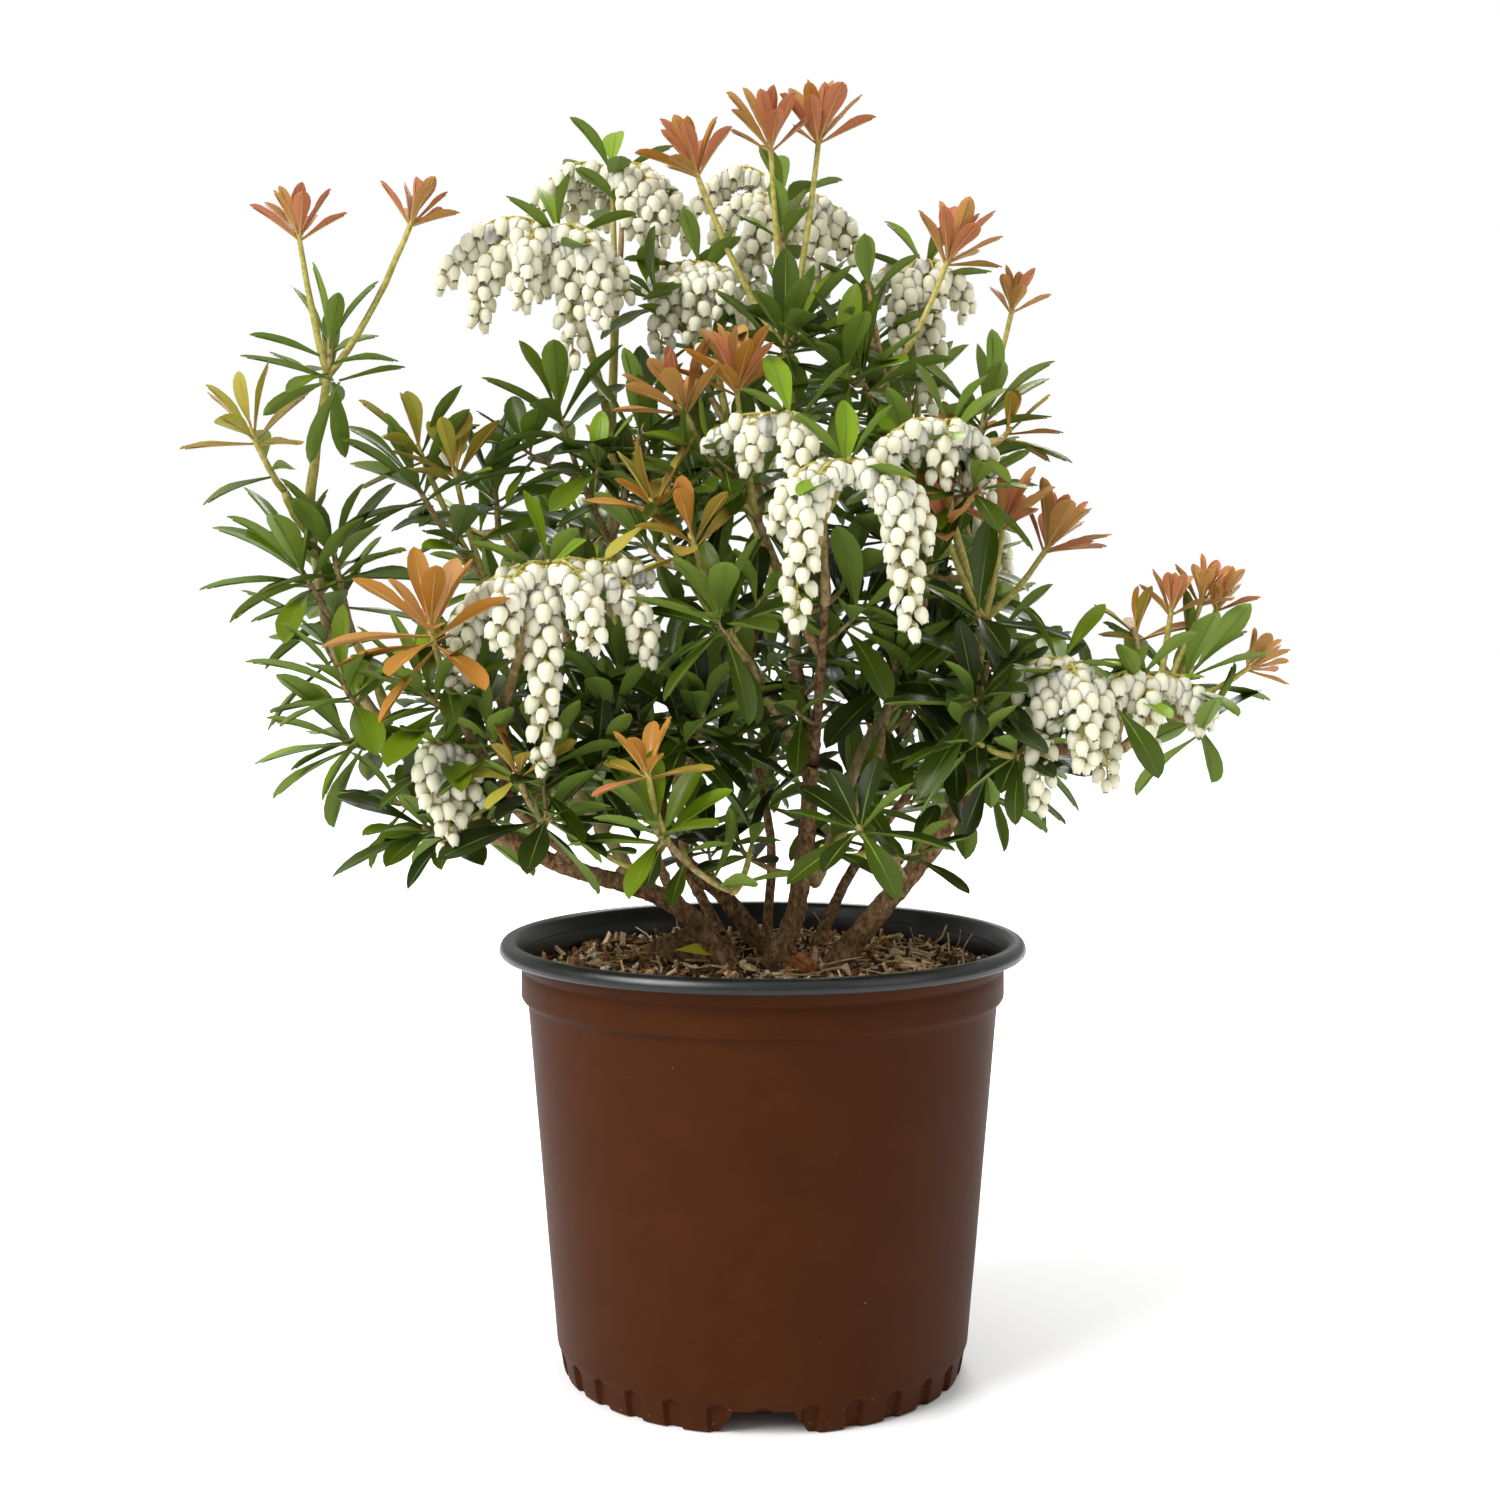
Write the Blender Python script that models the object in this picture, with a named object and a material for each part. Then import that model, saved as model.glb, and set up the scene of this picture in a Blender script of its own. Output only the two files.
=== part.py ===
"""Potted pieris: an evergreen shrub in flower, in a two-part nursery pot.

The pot stands on its flat underside, with the origin under its middle. +X is to the right of the
front, +Y is to the back and +Z is up. Every length here is in millimetres until mesh_object
turns it into metres.

The shrub has several stems from one foot. Each limb is a smooth tapering tube through a few points.
Each foliage mass grows from one limb: a short stem forks into shoots, and each shoot ends in a whorl
of leaves, a tuft of young leaves, or a panicle of hanging bells.
"""

import math
import random
from collections import namedtuple

import bmesh
import bpy
from mathutils import Matrix, Vector
from mathutils.bvhtree import BVHTree

METRES = 0.001
GAP = 0.3  # clearance between touching solids
TWIG_GAP = 0.5  # clearance at the foot of a mass's stem, where the limb may bend towards it
UP = Vector((0.0, 0.0, 1.0))
TURN = math.radians(137.5)  # the spiral in which leaves follow each other up a shoot

# Pot
FLUTES = 29
SIDES = 2 * FLUTES
FLUTE_DEPTH = 2.0
FLUTE_TOP = 5.0  # the wall's points below this height are drawn in between the flutes
FOOT_RADIUS = 85.5
SHOULDER_RADIUS = 88.9  # where the rounded foot meets the drafted side
SHOULDER_HEIGHT = 13.5
STEP_HEIGHT = 162.5  # middle of the step between the side and the band
SIDE_RADIUS = 100.5
BAND_RADIUS = 103.2
BAND_TOP = 175.0
MOUTH_RADIUS = 104.9
WALL = 1.5
POT_FLOOR = 12.5
WALL_TOP = 180.4
RIM_TOP = 187.1
RIM_RADIUS = 112.5
RIM_OPENING = 105.6
LINING = 1.1
LINING_FOOT = 165.0
CHANNELS = 4
CHANNEL_HEIGHT = 10.5
CHANNEL_TOP_WIDTH = 24.0
CHANNEL_FOOT_WIDTH = 38.0
CHANNEL_START = 36.0
SOIL_TOP = 178.0
SOIL_EDGE = 174.0
STEM_BED = 58.0  # radius of the level soil that the stems stand on

# The old woody foot beside the stems
BURL_CENTRE = (-44.0, 8.0)
BURL_LENGTH = 19.0
BURL_WIDTH = 13.0
BURL_HEIGHT = 11.0

# Space that the crown keeps to
CROWN_LOW = 192.0
CROWN_TOP = 558.0
CROWN_LEFT = -246.0
CROWN_RIGHT = 228.0
CROWN_FRONT = -192.0
CROWN_BACK = 196.0

# Material: colour, roughness
FINISHES = {
    "brown_plastic": ((0.105, 0.030, 0.016), 0.48),
    "black_plastic": ((0.014, 0.015, 0.017), 0.38),
    "potting_bark": ((0.045, 0.022, 0.011), 0.95),
    "stem_bark": ((0.120, 0.062, 0.036), 0.90),
    "evergreen_leaf": ((0.045, 0.130, 0.020), 0.42),
    "young_leaf": ((0.420, 0.130, 0.060), 0.45),
    "blossom": ((0.820, 0.810, 0.720), 0.55),
}

Limb = namedtuple("Limb", "name parent along radii points")

# A stem starts on the soil. A bough starts at its parent, at the fraction "along" of its length.
LIMBS = (
    Limb("stem_left", None, 0, (5.6, 3.4),
         ((-15, -17, 178), (-40, -20, 205), (-86, -36, 223), (-126, -50, 247))),
    Limb("stem_mid_left", None, 0, (5.2, 3.0),
         ((1, 14, 178), (-17, 11, 203), (-38, 9, 226), (-60, 12, 300))),
    Limb("stem_centre", None, 0, (5.8, 3.0),
         ((10, -7, 178), (19, -7, 206), (20, -8, 258), (14, -8, 305))),
    Limb("stem_right", None, 0, (6.4, 4.3),
         ((31, -17, 178), (48, -22, 200), (72, -28, 231), (88, -30, 260))),
    Limb("stem_back_left", None, 0, (5.4, 3.0),
         ((-16, 32, 178), (-38, 62, 214), (-72, 92, 262), (-92, 104, 310))),
    Limb("stem_back_right", None, 0, (5.4, 3.0),
         ((24, 30, 178), (44, 62, 212), (84, 88, 262), (108, 96, 312))),
    Limb("stem_back", None, 0, (5.0, 2.9),
         ((2, 46, 178), (4, 62, 222), (-6, 76, 280), (0, 80, 340))),
    Limb("bough_left_rise", "stem_left", 1, (3.3, 2.3),
         ((-150, -56, 280), (-170, -52, 315), (-181, -43, 368))),
    Limb("bough_left_fan", "stem_left", 0.48, (3.0, 2.0),
         ((-84, -18, 262), (-98, -8, 310), (-106, 4, 352))),
    Limb("bough_left_front", "stem_left", 0.66, (2.8, 2.1),
         ((-102, -66, 254), (-100, -84, 292))),
    Limb("bough_crown_left", "stem_mid_left", 1, (2.9, 2.1),
         ((-66, 15, 335), (-62, 12, 392))),
    Limb("bough_crown_centre", "stem_centre", 1, (2.9, 2.1),
         ((12, -6, 345), (14, -4, 392))),
    Limb("bough_crown_right", "stem_centre", 0.42, (3.1, 2.1),
         ((42, 6, 264), (62, 12, 300), (74, 14, 352))),
    Limb("bough_front", "stem_centre", 0.62, (2.9, 2.1),
         ((22, -40, 282), (24, -72, 330))),
    Limb("bough_front_low", "stem_left", 0.22, (3.0, 2.0),
         ((-38, -50, 214), (-42, -84, 232))),
    Limb("bough_right_low", "stem_right", 1, (3.8, 2.3),
         ((104, -40, 268), (126, -49, 271), (146, -51, 271))),
    Limb("bough_right_rise", "stem_right", 0.86, (3.0, 2.1),
         ((88, -14, 275), (88, -16, 330))),
)

Mass = namedtuple("Mass", "name finish limb along fork shoots")
Shoot = namedtuple("Shoot", "kind tip falls", defaults=((),))

# How a whorl of each kind is made: leaf count, length, width, the angles at which the newest and the
# oldest leaf stand off the shoot, and how far below the tip the oldest leaf sits.
Whorl = namedtuple("Whorl", "leaves length width newest oldest depth")
WHORLS = {
    "green": Whorl(5, 52.0, 18.0, 42.0, 98.0, 10.0),
    "small": Whorl(4, 36.0, 12.0, 34.0, 88.0, 7.0),
    "bronze": Whorl(5, 29.0, 11.0, 20.0, 56.0, 6.0),
    "olive": Whorl(4, 36.0, 13.0, 30.0, 74.0, 6.0),
    "copper": Whorl(5, 40.0, 14.0, 28.0, 82.0, 8.0),
    "bloom": Whorl(2, 40.0, 14.0, 44.0, 80.0, 6.0),
}
LIMB_SIDES = 5
LEAF_THICKNESS = 1.3
BELL_LENGTH = 12.0
BELL_WIDTH = 10.5
BELL_STEP = 13.5
RACEME_RADIUS = 1.3
TWIG_RADIUS = 1.5
LONG_SHOOT = 42.0  # a longer shoot has a leaf half way up
ROOT_DEPTH = 0.45  # how far a leaf or a bell is sunk in its twig
STEM_RADIUS = 2.1


def green(x, y, z):
    return Shoot("green", (x, y, z))


def small(x, y, z):
    return Shoot("small", (x, y, z))


def bronze(x, y, z):
    return Shoot("bronze", (x, y, z))


def olive(x, y, z):
    return Shoot("olive", (x, y, z))


def copper(x, y, z):
    return Shoot("copper", (x, y, z))


def bloom(x, y, z, *falls):
    """A panicle at (x, y, z). Each fall is one raceme: its heading in plan, its reach and its drop."""
    return Shoot("bloom", (x, y, z), falls)


# One row for each mass: its limb, where on it, how far up it forks, and its shoots.
MASSES = (
    Mass("left_spires", "evergreen_leaf", "bough_left_rise", 1, 0.6,
         (green(-178, -39, 430), bronze(-189, -42, 478), bronze(-146, -30, 480))),
    Mass("left_wing", "evergreen_leaf", "bough_left_rise", 0.72, 0.5,
         (olive(-208, -62, 396), green(-198, -44, 362))),
    Mass("left_flank", "evergreen_leaf", "bough_left_rise", 0.38, 0.5,
         (green(-192, -66, 332), green(-184, -22, 330))),
    Mass("left_elbow", "evergreen_leaf", "bough_left_rise", 0.2, 0.45,
         (green(-164, -84, 282), green(-178, -50, 268))),
    Mass("left_skirt", "evergreen_leaf", "stem_left", 0.82, 0.5,
         (green(-134, -62, 226), green(-126, -16, 236))),
    Mass("left_bells", "blossom", "stem_left", 0.93, 0.5,
         (bloom(-126, -88, 276, (-115, 10, 28), (-60, 18, 38)),)),
    Mass("left_front_tuft", "young_leaf", "bough_left_front", 0.74, 0.5,
         (copper(-128, -112, 322), green(-134, -96, 298))),
    Mass("left_front_bloom", "blossom", "bough_left_front", 1, 0.5,
         (bloom(-82, -100, 346, (-95, 18, 74), (-25, 32, 46), (-165, 30, 40), (-60, 26, 60)),)),
    Mass("left_front_low", "evergreen_leaf", "bough_left_front", 0.5, 0.5,
         (copper(-94, -100, 268), green(-82, -86, 246))),
    Mass("left_olive", "evergreen_leaf", "bough_left_fan", 0.7, 0.45,
         (olive(-150, -14, 398), olive(-132, -22, 390), green(-150, -8, 362))),
    Mass("left_inner", "evergreen_leaf", "bough_left_fan", 1, 0.5,
         (green(-110, 10, 398), green(-118, 36, 370))),
    Mass("crown_left_bloom", "blossom", "bough_crown_left", 1, 0.55,
         (bloom(-80, -10, 474, (175, 52, 12), (200, 32, 28), (-20, 24, 10), (-80, 16, 44), (-120, 18, 26)),)),
    Mass("crown_left_tip", "blossom", "bough_crown_left", 0.86, 0.6,
         (green(-66, 34, 510), bloom(-62, 30, 504, (180, 36, 4), (-10, 26, 14), (-70, 18, 26)))),
    Mass("crown_left_shade", "evergreen_leaf", "bough_crown_left", 0.45, 0.45,
         (green(-86, -14, 412), green(-50, -20, 404))),
    Mass("top_spires", "evergreen_leaf", "bough_crown_centre", 1, 0.4,
         (green(13, -6, 450), bronze(-31, -6, 515), bronze(4, -6, 522), bronze(24, 6, 538))),
    Mass("top_bloom", "blossom", "bough_crown_centre", 0.72, 0.6,
         (bloom(14, 44, 494, (175, 28, 8), (0, 24, 30), (-70, 20, 46)), green(10, 62, 470))),
    Mass("upper_bloom", "blossom", "bough_crown_centre", 0.5, 0.55,
         (bloom(-30, 10, 470, (180, 18, 30), (-80, 14, 50), (20, 16, 34)), green(-34, 30, 440))),
    Mass("right_spire", "evergreen_leaf", "bough_crown_right", 1, 0.4,
         (green(44, -24, 420), bronze(74, -15, 476), green(46, 14, 452))),
    Mass("right_bloom_high", "blossom", "bough_crown_right", 0.84, 0.6,
         (bloom(76, 34, 474, (0, 24, 12), (-70, 14, 48), (180, 14, 30)), green(70, 56, 430))),
    Mass("right_slender", "evergreen_leaf", "bough_crown_right", 0.66, 0.5,
         (bronze(108, 2, 458), green(92, 0, 408), green(118, 18, 388))),
    Mass("centre_tuft", "young_leaf", "bough_front", 0.86, 0.6,
         (bronze(-11, -72, 416), bronze(-33, -70, 408), green(-14, -60, 376))),
    Mass("centre_bloom", "blossom", "bough_front", 1, 0.5,
         (bloom(32, -108, 384, (-130, 24, 58), (-60, 28, 62), (-95, 26, 34)),
          bloom(10, -88, 402, (180, 34, 10), (-150, 20, 26)))),
    Mass("centre_right_bloom", "blossom", "bough_right_rise", 1, 0.55,
         (bloom(72, -80, 400, (180, 18, 18), (-20, 22, 24), (-90, 12, 30)), green(58, -62, 384))),
    Mass("centre_olive", "young_leaf", "bough_front", 0.5, 0.5,
         (olive(-28, -100, 356), olive(-44, -84, 370), green(-18, -104, 326))),
    Mass("right_tufts", "young_leaf", "bough_right_rise", 0.8, 0.5,
         (bronze(70, -70, 362), bronze(97, -48, 364), bronze(114, -34, 362), green(92, -66, 330))),
    Mass("right_shade", "evergreen_leaf", "bough_right_rise", 0.62, 0.5,
         (green(82, -84, 292), green(116, -4, 318))),
    Mass("right_low_bloom", "blossom", "bough_right_low", 0.6, 0.5,
         (bloom(118, -68, 308, (-100, 14, 44), (-30, 22, 40), (180, 14, 20)), green(104, -86, 262))),
    Mass("right_far_bloom", "blossom", "bough_right_low", 0.95, 0.5,
         (bloom(150, -62, 302, (0, 30, 12), (-90, 10, 24)), green(140, -22, 296))),
    Mass("right_far_tufts", "young_leaf", "bough_right_low", 1, 0.4,
         (bronze(180, -50, 332), olive(152, -46, 328), bronze(206, -42, 306), green(186, -44, 276))),
    Mass("front_low", "evergreen_leaf", "bough_front_low", 1, 0.5,
         (green(-42, -108, 246), copper(-44, -118, 270), small(-12, -92, 214))),
    Mass("front_right_low", "evergreen_leaf", "stem_right", 0.5, 0.55,
         (green(36, -98, 244), small(70, -66, 226))),
    Mass("heart_left", "evergreen_leaf", "stem_mid_left", 0.62, 0.5,
         (green(-58, -44, 300), green(-24, -62, 286))),
    Mass("heart_right", "evergreen_leaf", "bough_crown_right", 0.3, 0.5,
         (green(54, -44, 308), green(96, 34, 312))),
    Mass("back_left_low", "evergreen_leaf", "stem_back_left", 0.6, 0.5,
         (green(-112, 72, 262), green(-70, 136, 256), green(-130, 40, 300))),
    Mass("back_left_high", "evergreen_leaf", "stem_back_left", 1, 0.5,
         (bronze(-142, 92, 418), green(-128, 116, 340),
          bloom(-92, 132, 386, (120, 26, 44), (60, 22, 50), (180, 24, 40)))),
    Mass("back_right_low", "evergreen_leaf", "stem_back_right", 0.6, 0.5,
         (green(124, 62, 268), green(76, 134, 258), green(150, 28, 300))),
    Mass("back_right_high", "evergreen_leaf", "stem_back_right", 1, 0.5,
         (bronze(146, 84, 408), green(144, 104, 334),
          bloom(98, 128, 378, (60, 28, 48), (120, 22, 50), (10, 24, 36)))),
    Mass("back_low", "evergreen_leaf", "stem_back", 0.5, 0.5,
         (green(-14, 138, 262), green(24, 124, 312))),
    Mass("back_high", "evergreen_leaf", "stem_back", 1, 0.5,
         (bronze(-32, 92, 470), bloom(6, 122, 420, (100, 30, 44), (40, 26, 50)),
          green(-42, 112, 404), green(48, 90, 420))),
)


def clear_scene():
    for leftover in list(bpy.data.objects):
        bpy.data.objects.remove(leftover, do_unlink=True)


def finish_material(name):
    material = bpy.data.materials.get(name)
    if material:
        return material
    colour, roughness = FINISHES[name]
    material = bpy.data.materials.new(name)
    material.use_nodes = True
    shader = material.node_tree.nodes["Principled BSDF"]
    shader.inputs["Base Color"].default_value = (*colour, 1.0)
    shader.inputs["Roughness"].default_value = roughness
    shader.inputs["Metallic"].default_value = 0.0
    material.diffuse_color = (*colour, 1.0)
    return material


def mesh_object(name, bm, finish, smooth_angle=None):
    """A scene object from a bmesh in millimetres. It empties the bmesh."""
    bmesh.ops.recalc_face_normals(bm, faces=bm.faces[:])
    bmesh.ops.scale(bm, vec=(METRES, METRES, METRES), verts=bm.verts[:])
    mesh = bpy.data.meshes.new(name)
    bm.to_mesh(mesh)
    bm.free()
    mesh.materials.append(finish_material(finish))
    if smooth_angle:
        mesh.shade_smooth()
        mesh.set_sharp_from_angle(angle=math.radians(smooth_angle))
    placed = bpy.data.objects.new(name, mesh)
    bpy.context.scene.collection.objects.link(placed)
    return placed


def turned(profile, sides):
    """Spins (radius, height) points round the Z axis. Points on the axis are joined there."""
    bm = bmesh.new()
    line = [bm.verts.new((radius, 0.0, height)) for radius, height in profile]
    edges = [bm.edges.new(pair) for pair in zip(line, line[1:])]
    if profile[0][0] > 0:
        edges.append(bm.edges.new((line[-1], line[0])))
    bmesh.ops.spin(
        bm, geom=line + edges, cent=(0, 0, 0), axis=UP, angle=math.tau, steps=sides, use_merge=True
    )
    bmesh.ops.remove_doubles(bm, verts=bm.verts[:], dist=0.001)
    return bm


def apply_boolean(target, operation, tools, solver):
    """Unites or cuts the target with every object in one collection, then removes them."""
    collection = bpy.data.collections.new(target.name + "_tools")
    bpy.context.scene.collection.children.link(collection)
    for tool in tools:
        bpy.context.scene.collection.objects.unlink(tool)
        collection.objects.link(tool)
    modifier = target.modifiers.new("join", "BOOLEAN")
    modifier.operation = operation
    modifier.operand_type = "COLLECTION"
    modifier.collection = collection
    modifier.solver = solver
    bpy.context.view_layer.update()
    graph = bpy.context.evaluated_depsgraph_get()
    joined = bpy.data.meshes.new_from_object(target.evaluated_get(graph))
    target.modifiers.clear()
    target.data = joined
    joined.name = target.name
    for tool in tools:
        bpy.data.objects.remove(tool, do_unlink=True)
    bpy.data.collections.remove(collection)


def keep_largest_piece(target):
    """Drops loose scraps and the skins of sealed hollows."""
    bm = bmesh.new()
    bm.from_mesh(target.data)
    unseen = set(bm.verts)
    pieces = []
    while unseen:
        piece = []
        edge_of_search = [unseen.pop()]
        while edge_of_search:
            vertex = edge_of_search.pop()
            piece.append(vertex)
            for edge in vertex.link_edges:
                other = edge.other_vert(vertex)
                if other in unseen:
                    unseen.remove(other)
                    edge_of_search.append(other)
        pieces.append(piece)
    pieces.sort(key=len)
    for piece in pieces[:-1]:
        bmesh.ops.delete(bm, geom=piece, context="VERTS")
    bm.to_mesh(target.data)
    bm.free()


# ---- pot -------------------------------------------------------------------------------------


def wall_profile():
    """The brown wall: underside, fluted foot, drafted side, step, band and open top."""
    outer = [
        (0, 0),
        (FOOT_RADIUS, 0),
        (SHOULDER_RADIUS, SHOULDER_HEIGHT),
        (SIDE_RADIUS, STEP_HEIGHT - 1.0),
        (BAND_RADIUS, STEP_HEIGHT + 1.0),
        (BAND_RADIUS, BAND_TOP),
        (MOUTH_RADIUS, WALL_TOP),
    ]
    inner = [
        (MOUTH_RADIUS - WALL, WALL_TOP),
        (BAND_RADIUS - WALL, STEP_HEIGHT + 2.0),
        (SIDE_RADIUS - WALL, STEP_HEIGHT - 1.5),
        (SHOULDER_RADIUS - WALL, POT_FLOOR),
        (0, POT_FLOOR),
    ]
    return outer + inner


def add_pot_wall():
    bm = turned(wall_profile(), SIDES)
    for vertex in bm.verts:
        radius = math.hypot(vertex.co.x, vertex.co.y)
        step = round(math.atan2(vertex.co.y, vertex.co.x) / math.tau * SIDES)
        if radius > FOOT_RADIUS / 2 and vertex.co.z < FLUTE_TOP and step % 2:
            vertex.co.x *= 1 - FLUTE_DEPTH / radius
            vertex.co.y *= 1 - FLUTE_DEPTH / radius
    wall = mesh_object("pot_wall", bm, "brown_plastic", 30)
    apply_boolean(wall, "DIFFERENCE", [channel_cutter(index) for index in range(CHANNELS)], "EXACT")


def channel_cutter(index):
    """One drain channel: a wedge under the floor that opens as a notch in the foot of the wall."""
    bm = bmesh.new()
    bmesh.ops.create_cube(bm, size=1.0)
    for vertex in bm.verts:
        top = vertex.co.z > 0
        vertex.co.x *= CHANNEL_TOP_WIDTH if top else CHANNEL_FOOT_WIDTH
        vertex.co.y = -CHANNEL_START if vertex.co.y > 0 else -RIM_RADIUS
        vertex.co.z = CHANNEL_HEIGHT if top else -1.0
    bmesh.ops.rotate(bm, verts=bm.verts[:], matrix=Matrix.Rotation(math.tau * index / CHANNELS, 3, "Z"))
    cutter = mesh_object(f"channel_cutter_{index}", bm, "brown_plastic")
    cutter.hide_render = True
    cutter.display_type = "WIRE"
    return cutter


def add_pot_rim():
    """The black lip, rolled outwards, with the lining that runs down inside the wall."""
    lining_foot = BAND_RADIUS - WALL - GAP - 0.1
    lining_top = MOUTH_RADIUS - WALL - GAP - 0.1
    under_lip = WALL_TOP + GAP
    profile = [
        (lining_foot, LINING_FOOT),
        (lining_top, under_lip),
        (RIM_RADIUS - 1.0, under_lip),
        (RIM_RADIUS, under_lip + 1.7),
        (RIM_RADIUS - 1.6, RIM_TOP),
        (RIM_OPENING, RIM_TOP),
        (lining_top - LINING, WALL_TOP),
        (lining_foot - LINING, LINING_FOOT),
    ]
    mesh_object("pot_rim", turned(profile, FLUTES), "black_plastic", 40)


def add_soil():
    """Potting bark that fills the pot: level round the stems, lower and uneven at the edge."""
    bed_top = SOIL_TOP - GAP
    clear_of_wall = WALL + 0.6
    clear_of_lining = WALL + LINING + 1.0
    profile = [
        (0, POT_FLOOR + GAP),
        (SHOULDER_RADIUS - clear_of_wall, POT_FLOOR + GAP),
        (SIDE_RADIUS - clear_of_wall, STEP_HEIGHT - 2.0),
        (BAND_RADIUS - clear_of_lining, LINING_FOOT),
        (BAND_RADIUS - clear_of_lining + 0.9, SOIL_EDGE),
        (STEM_BED + 24.0, SOIL_EDGE + 2.0),
        (STEM_BED, bed_top),
        (0, bed_top),
    ]
    bm = turned(profile, FLUTES)
    rng = random.Random(4)
    for vertex in bm.verts:
        out = math.hypot(vertex.co.x, vertex.co.y)
        if STEM_BED + 10.0 < out < STEM_BED + 34.0 and vertex.co.z > SOIL_EDGE:
            vertex.co.z += rng.uniform(-1.8, 2.4)
    mesh_object("soil", bm, "potting_bark", 20)


# ---- limbs -----------------------------------------------------------------------------------


def smooth_path(points, samples):
    """Points on the smooth curve through the given ones, with a number of samples for each span."""
    ends = [2 * points[0] - points[1], *points, 2 * points[-1] - points[-2]]
    path = []
    for before, start, end, after in zip(ends, ends[1:], ends[2:], ends[3:]):
        for index in range(samples):
            t = index / samples
            bend = (2 * start) + (end - before) * t
            bend += (2 * before - 5 * start + 4 * end - after) * t**2
            bend += (3 * start - before - 3 * end + after) * t**3
            path.append(bend / 2)
    return path + [points[-1]]


def arc_path(start, corner, end, samples):
    """A shoot's path: one bend from start to end, pulled towards the corner."""
    path = []
    for index in range(samples + 1):
        t = index / samples
        path.append(start * (1 - t) ** 2 + corner * (2 * t * (1 - t)) + end * t**2)
    return path


def cross_section(tangent):
    """Two directions across a tube."""
    aside = tangent.cross(UP if abs(tangent.z) < 0.7 else Vector((1.0, 0.0, 0.0))).normalized()
    return aside, tangent.cross(aside)


def add_tube(bm, path, radii, sides, foot_faces):
    """A closed tapering tube. Its first ring is cut square to the direction that its foot faces."""
    rings = []
    last = len(path) - 1
    for index, (centre, radius) in enumerate(zip(path, radii)):
        tangent = (path[min(index + 1, last)] - path[max(index - 1, 0)]).normalized()
        if index == 0:
            tangent = foot_faces
            across, beside = cross_section(tangent)
        across = (across - across.dot(tangent) * tangent).normalized()
        beside = tangent.cross(across)
        ring = []
        for side in range(sides):
            angle = math.tau * side / sides
            out = math.cos(angle) * across + math.sin(angle) * beside
            ring.append(bm.verts.new(centre + radius * out))
        rings.append(ring)
    for lower, upper in zip(rings, rings[1:]):
        for side in range(sides):
            following = (side + 1) % sides
            bm.faces.new((lower[side], lower[following], upper[following], upper[side]))
    bm.faces.new(rings[0][::-1])
    bm.faces.new(rings[-1])


def tapered(path, start, end):
    """A radius for each point of the path, by its share of the length."""
    lengths = [0.0]
    for here, there in zip(path, path[1:]):
        lengths.append(lengths[-1] + (there - here).length)
    return [start + (end - start) * length / lengths[-1] for length in lengths]


class Grown:
    """A limb's path and radii, so that others can start from it."""

    def __init__(self, path, radii):
        self.path = path
        self.radii = radii

    def at(self, along):
        """The point, direction and radius at a fraction of the limb's length."""
        place = along * (len(self.path) - 1)
        index = min(int(place), len(self.path) - 2)
        share = place - index
        point = self.path[index].lerp(self.path[index + 1], share)
        radius = self.radii[index] * (1 - share) + self.radii[index + 1] * share
        return point, (self.path[index + 1] - self.path[index]).normalized(), radius

    def start_towards(self, along, target, gap):
        """Where a branch begins, clear of this limb, and the direction in which it leaves."""
        point, direction, radius = self.at(along)
        if along == 1:
            return point + direction * gap, direction
        out = target - point
        out = (out - out.dot(direction) * direction).normalized()
        return point + out * (radius + gap), out


def grow_limb(limb, grown):
    points = [Vector(point) for point in limb.points]
    start, end = limb.radii
    foot_faces = UP
    if limb.parent:
        foot, foot_faces = grown[limb.parent].start_towards(limb.along, points[0], GAP)
        points = [foot, foot + foot_faces * 4.0, *points]
    path = smooth_path(points, 2)
    radii = tapered(path, start, end)
    if not limb.parent:
        radii[0] *= 1.55
        radii[1] *= 1.08
    grown[limb.name] = Grown(path, radii)
    bm = bmesh.new()
    add_tube(bm, path, radii, LIMB_SIDES, foot_faces)
    return mesh_object(limb.name, bm, "stem_bark", 60)


def add_root_burl():
    """The old woody foot beside the stems: a low lump with a flat underside."""
    rng = random.Random(7)
    bm = bmesh.new()
    for height, spread in ((0.0, 1.0), (0.45, 0.86), (0.85, 0.5), (1.0, 0.12)):
        for side in range(9):
            out = heading(side * 40 + height * 30) * spread * rng.uniform(0.86, 1.08)
            x = BURL_CENTRE[0] + BURL_LENGTH * out.x
            y = BURL_CENTRE[1] + BURL_WIDTH * out.y
            bm.verts.new((x, y, SOIL_TOP + BURL_HEIGHT * height))
    hull = bmesh.ops.convex_hull(bm, input=bm.verts[:])
    bmesh.ops.delete(bm, geom=hull["geom_interior"], context="VERTS")
    return mesh_object("root_burl", bm, "stem_bark", 60)


# ---- foliage ---------------------------------------------------------------------------------


def add_leaf(bm, root, direction, face_up, length, width, grow=0.0):
    """A blade of six faces with a raised midrib. grow swells it, for a test of the room it has."""
    across = direction.cross(face_up).normalized()
    normal = across.cross(direction).normalized()
    half = width / 2 + grow
    back = bm.verts.new(root - direction * grow)
    tip = bm.verts.new(root + direction * (length + grow) - normal * length * 0.06)
    left = bm.verts.new(root + direction * length * 0.58 - across * half + normal * (0.8 - grow))
    right = bm.verts.new(root + direction * length * 0.58 + across * half + normal * (0.8 - grow))
    rib = bm.verts.new(root + direction * length * 0.46 + normal * (0.8 + LEAF_THICKNESS + grow))
    for edge in ((back, left), (left, tip), (tip, right), (right, back)):
        bm.faces.new((*edge, rib))
    bm.faces.new((back, right, left))
    bm.faces.new((left, right, tip))


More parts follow.
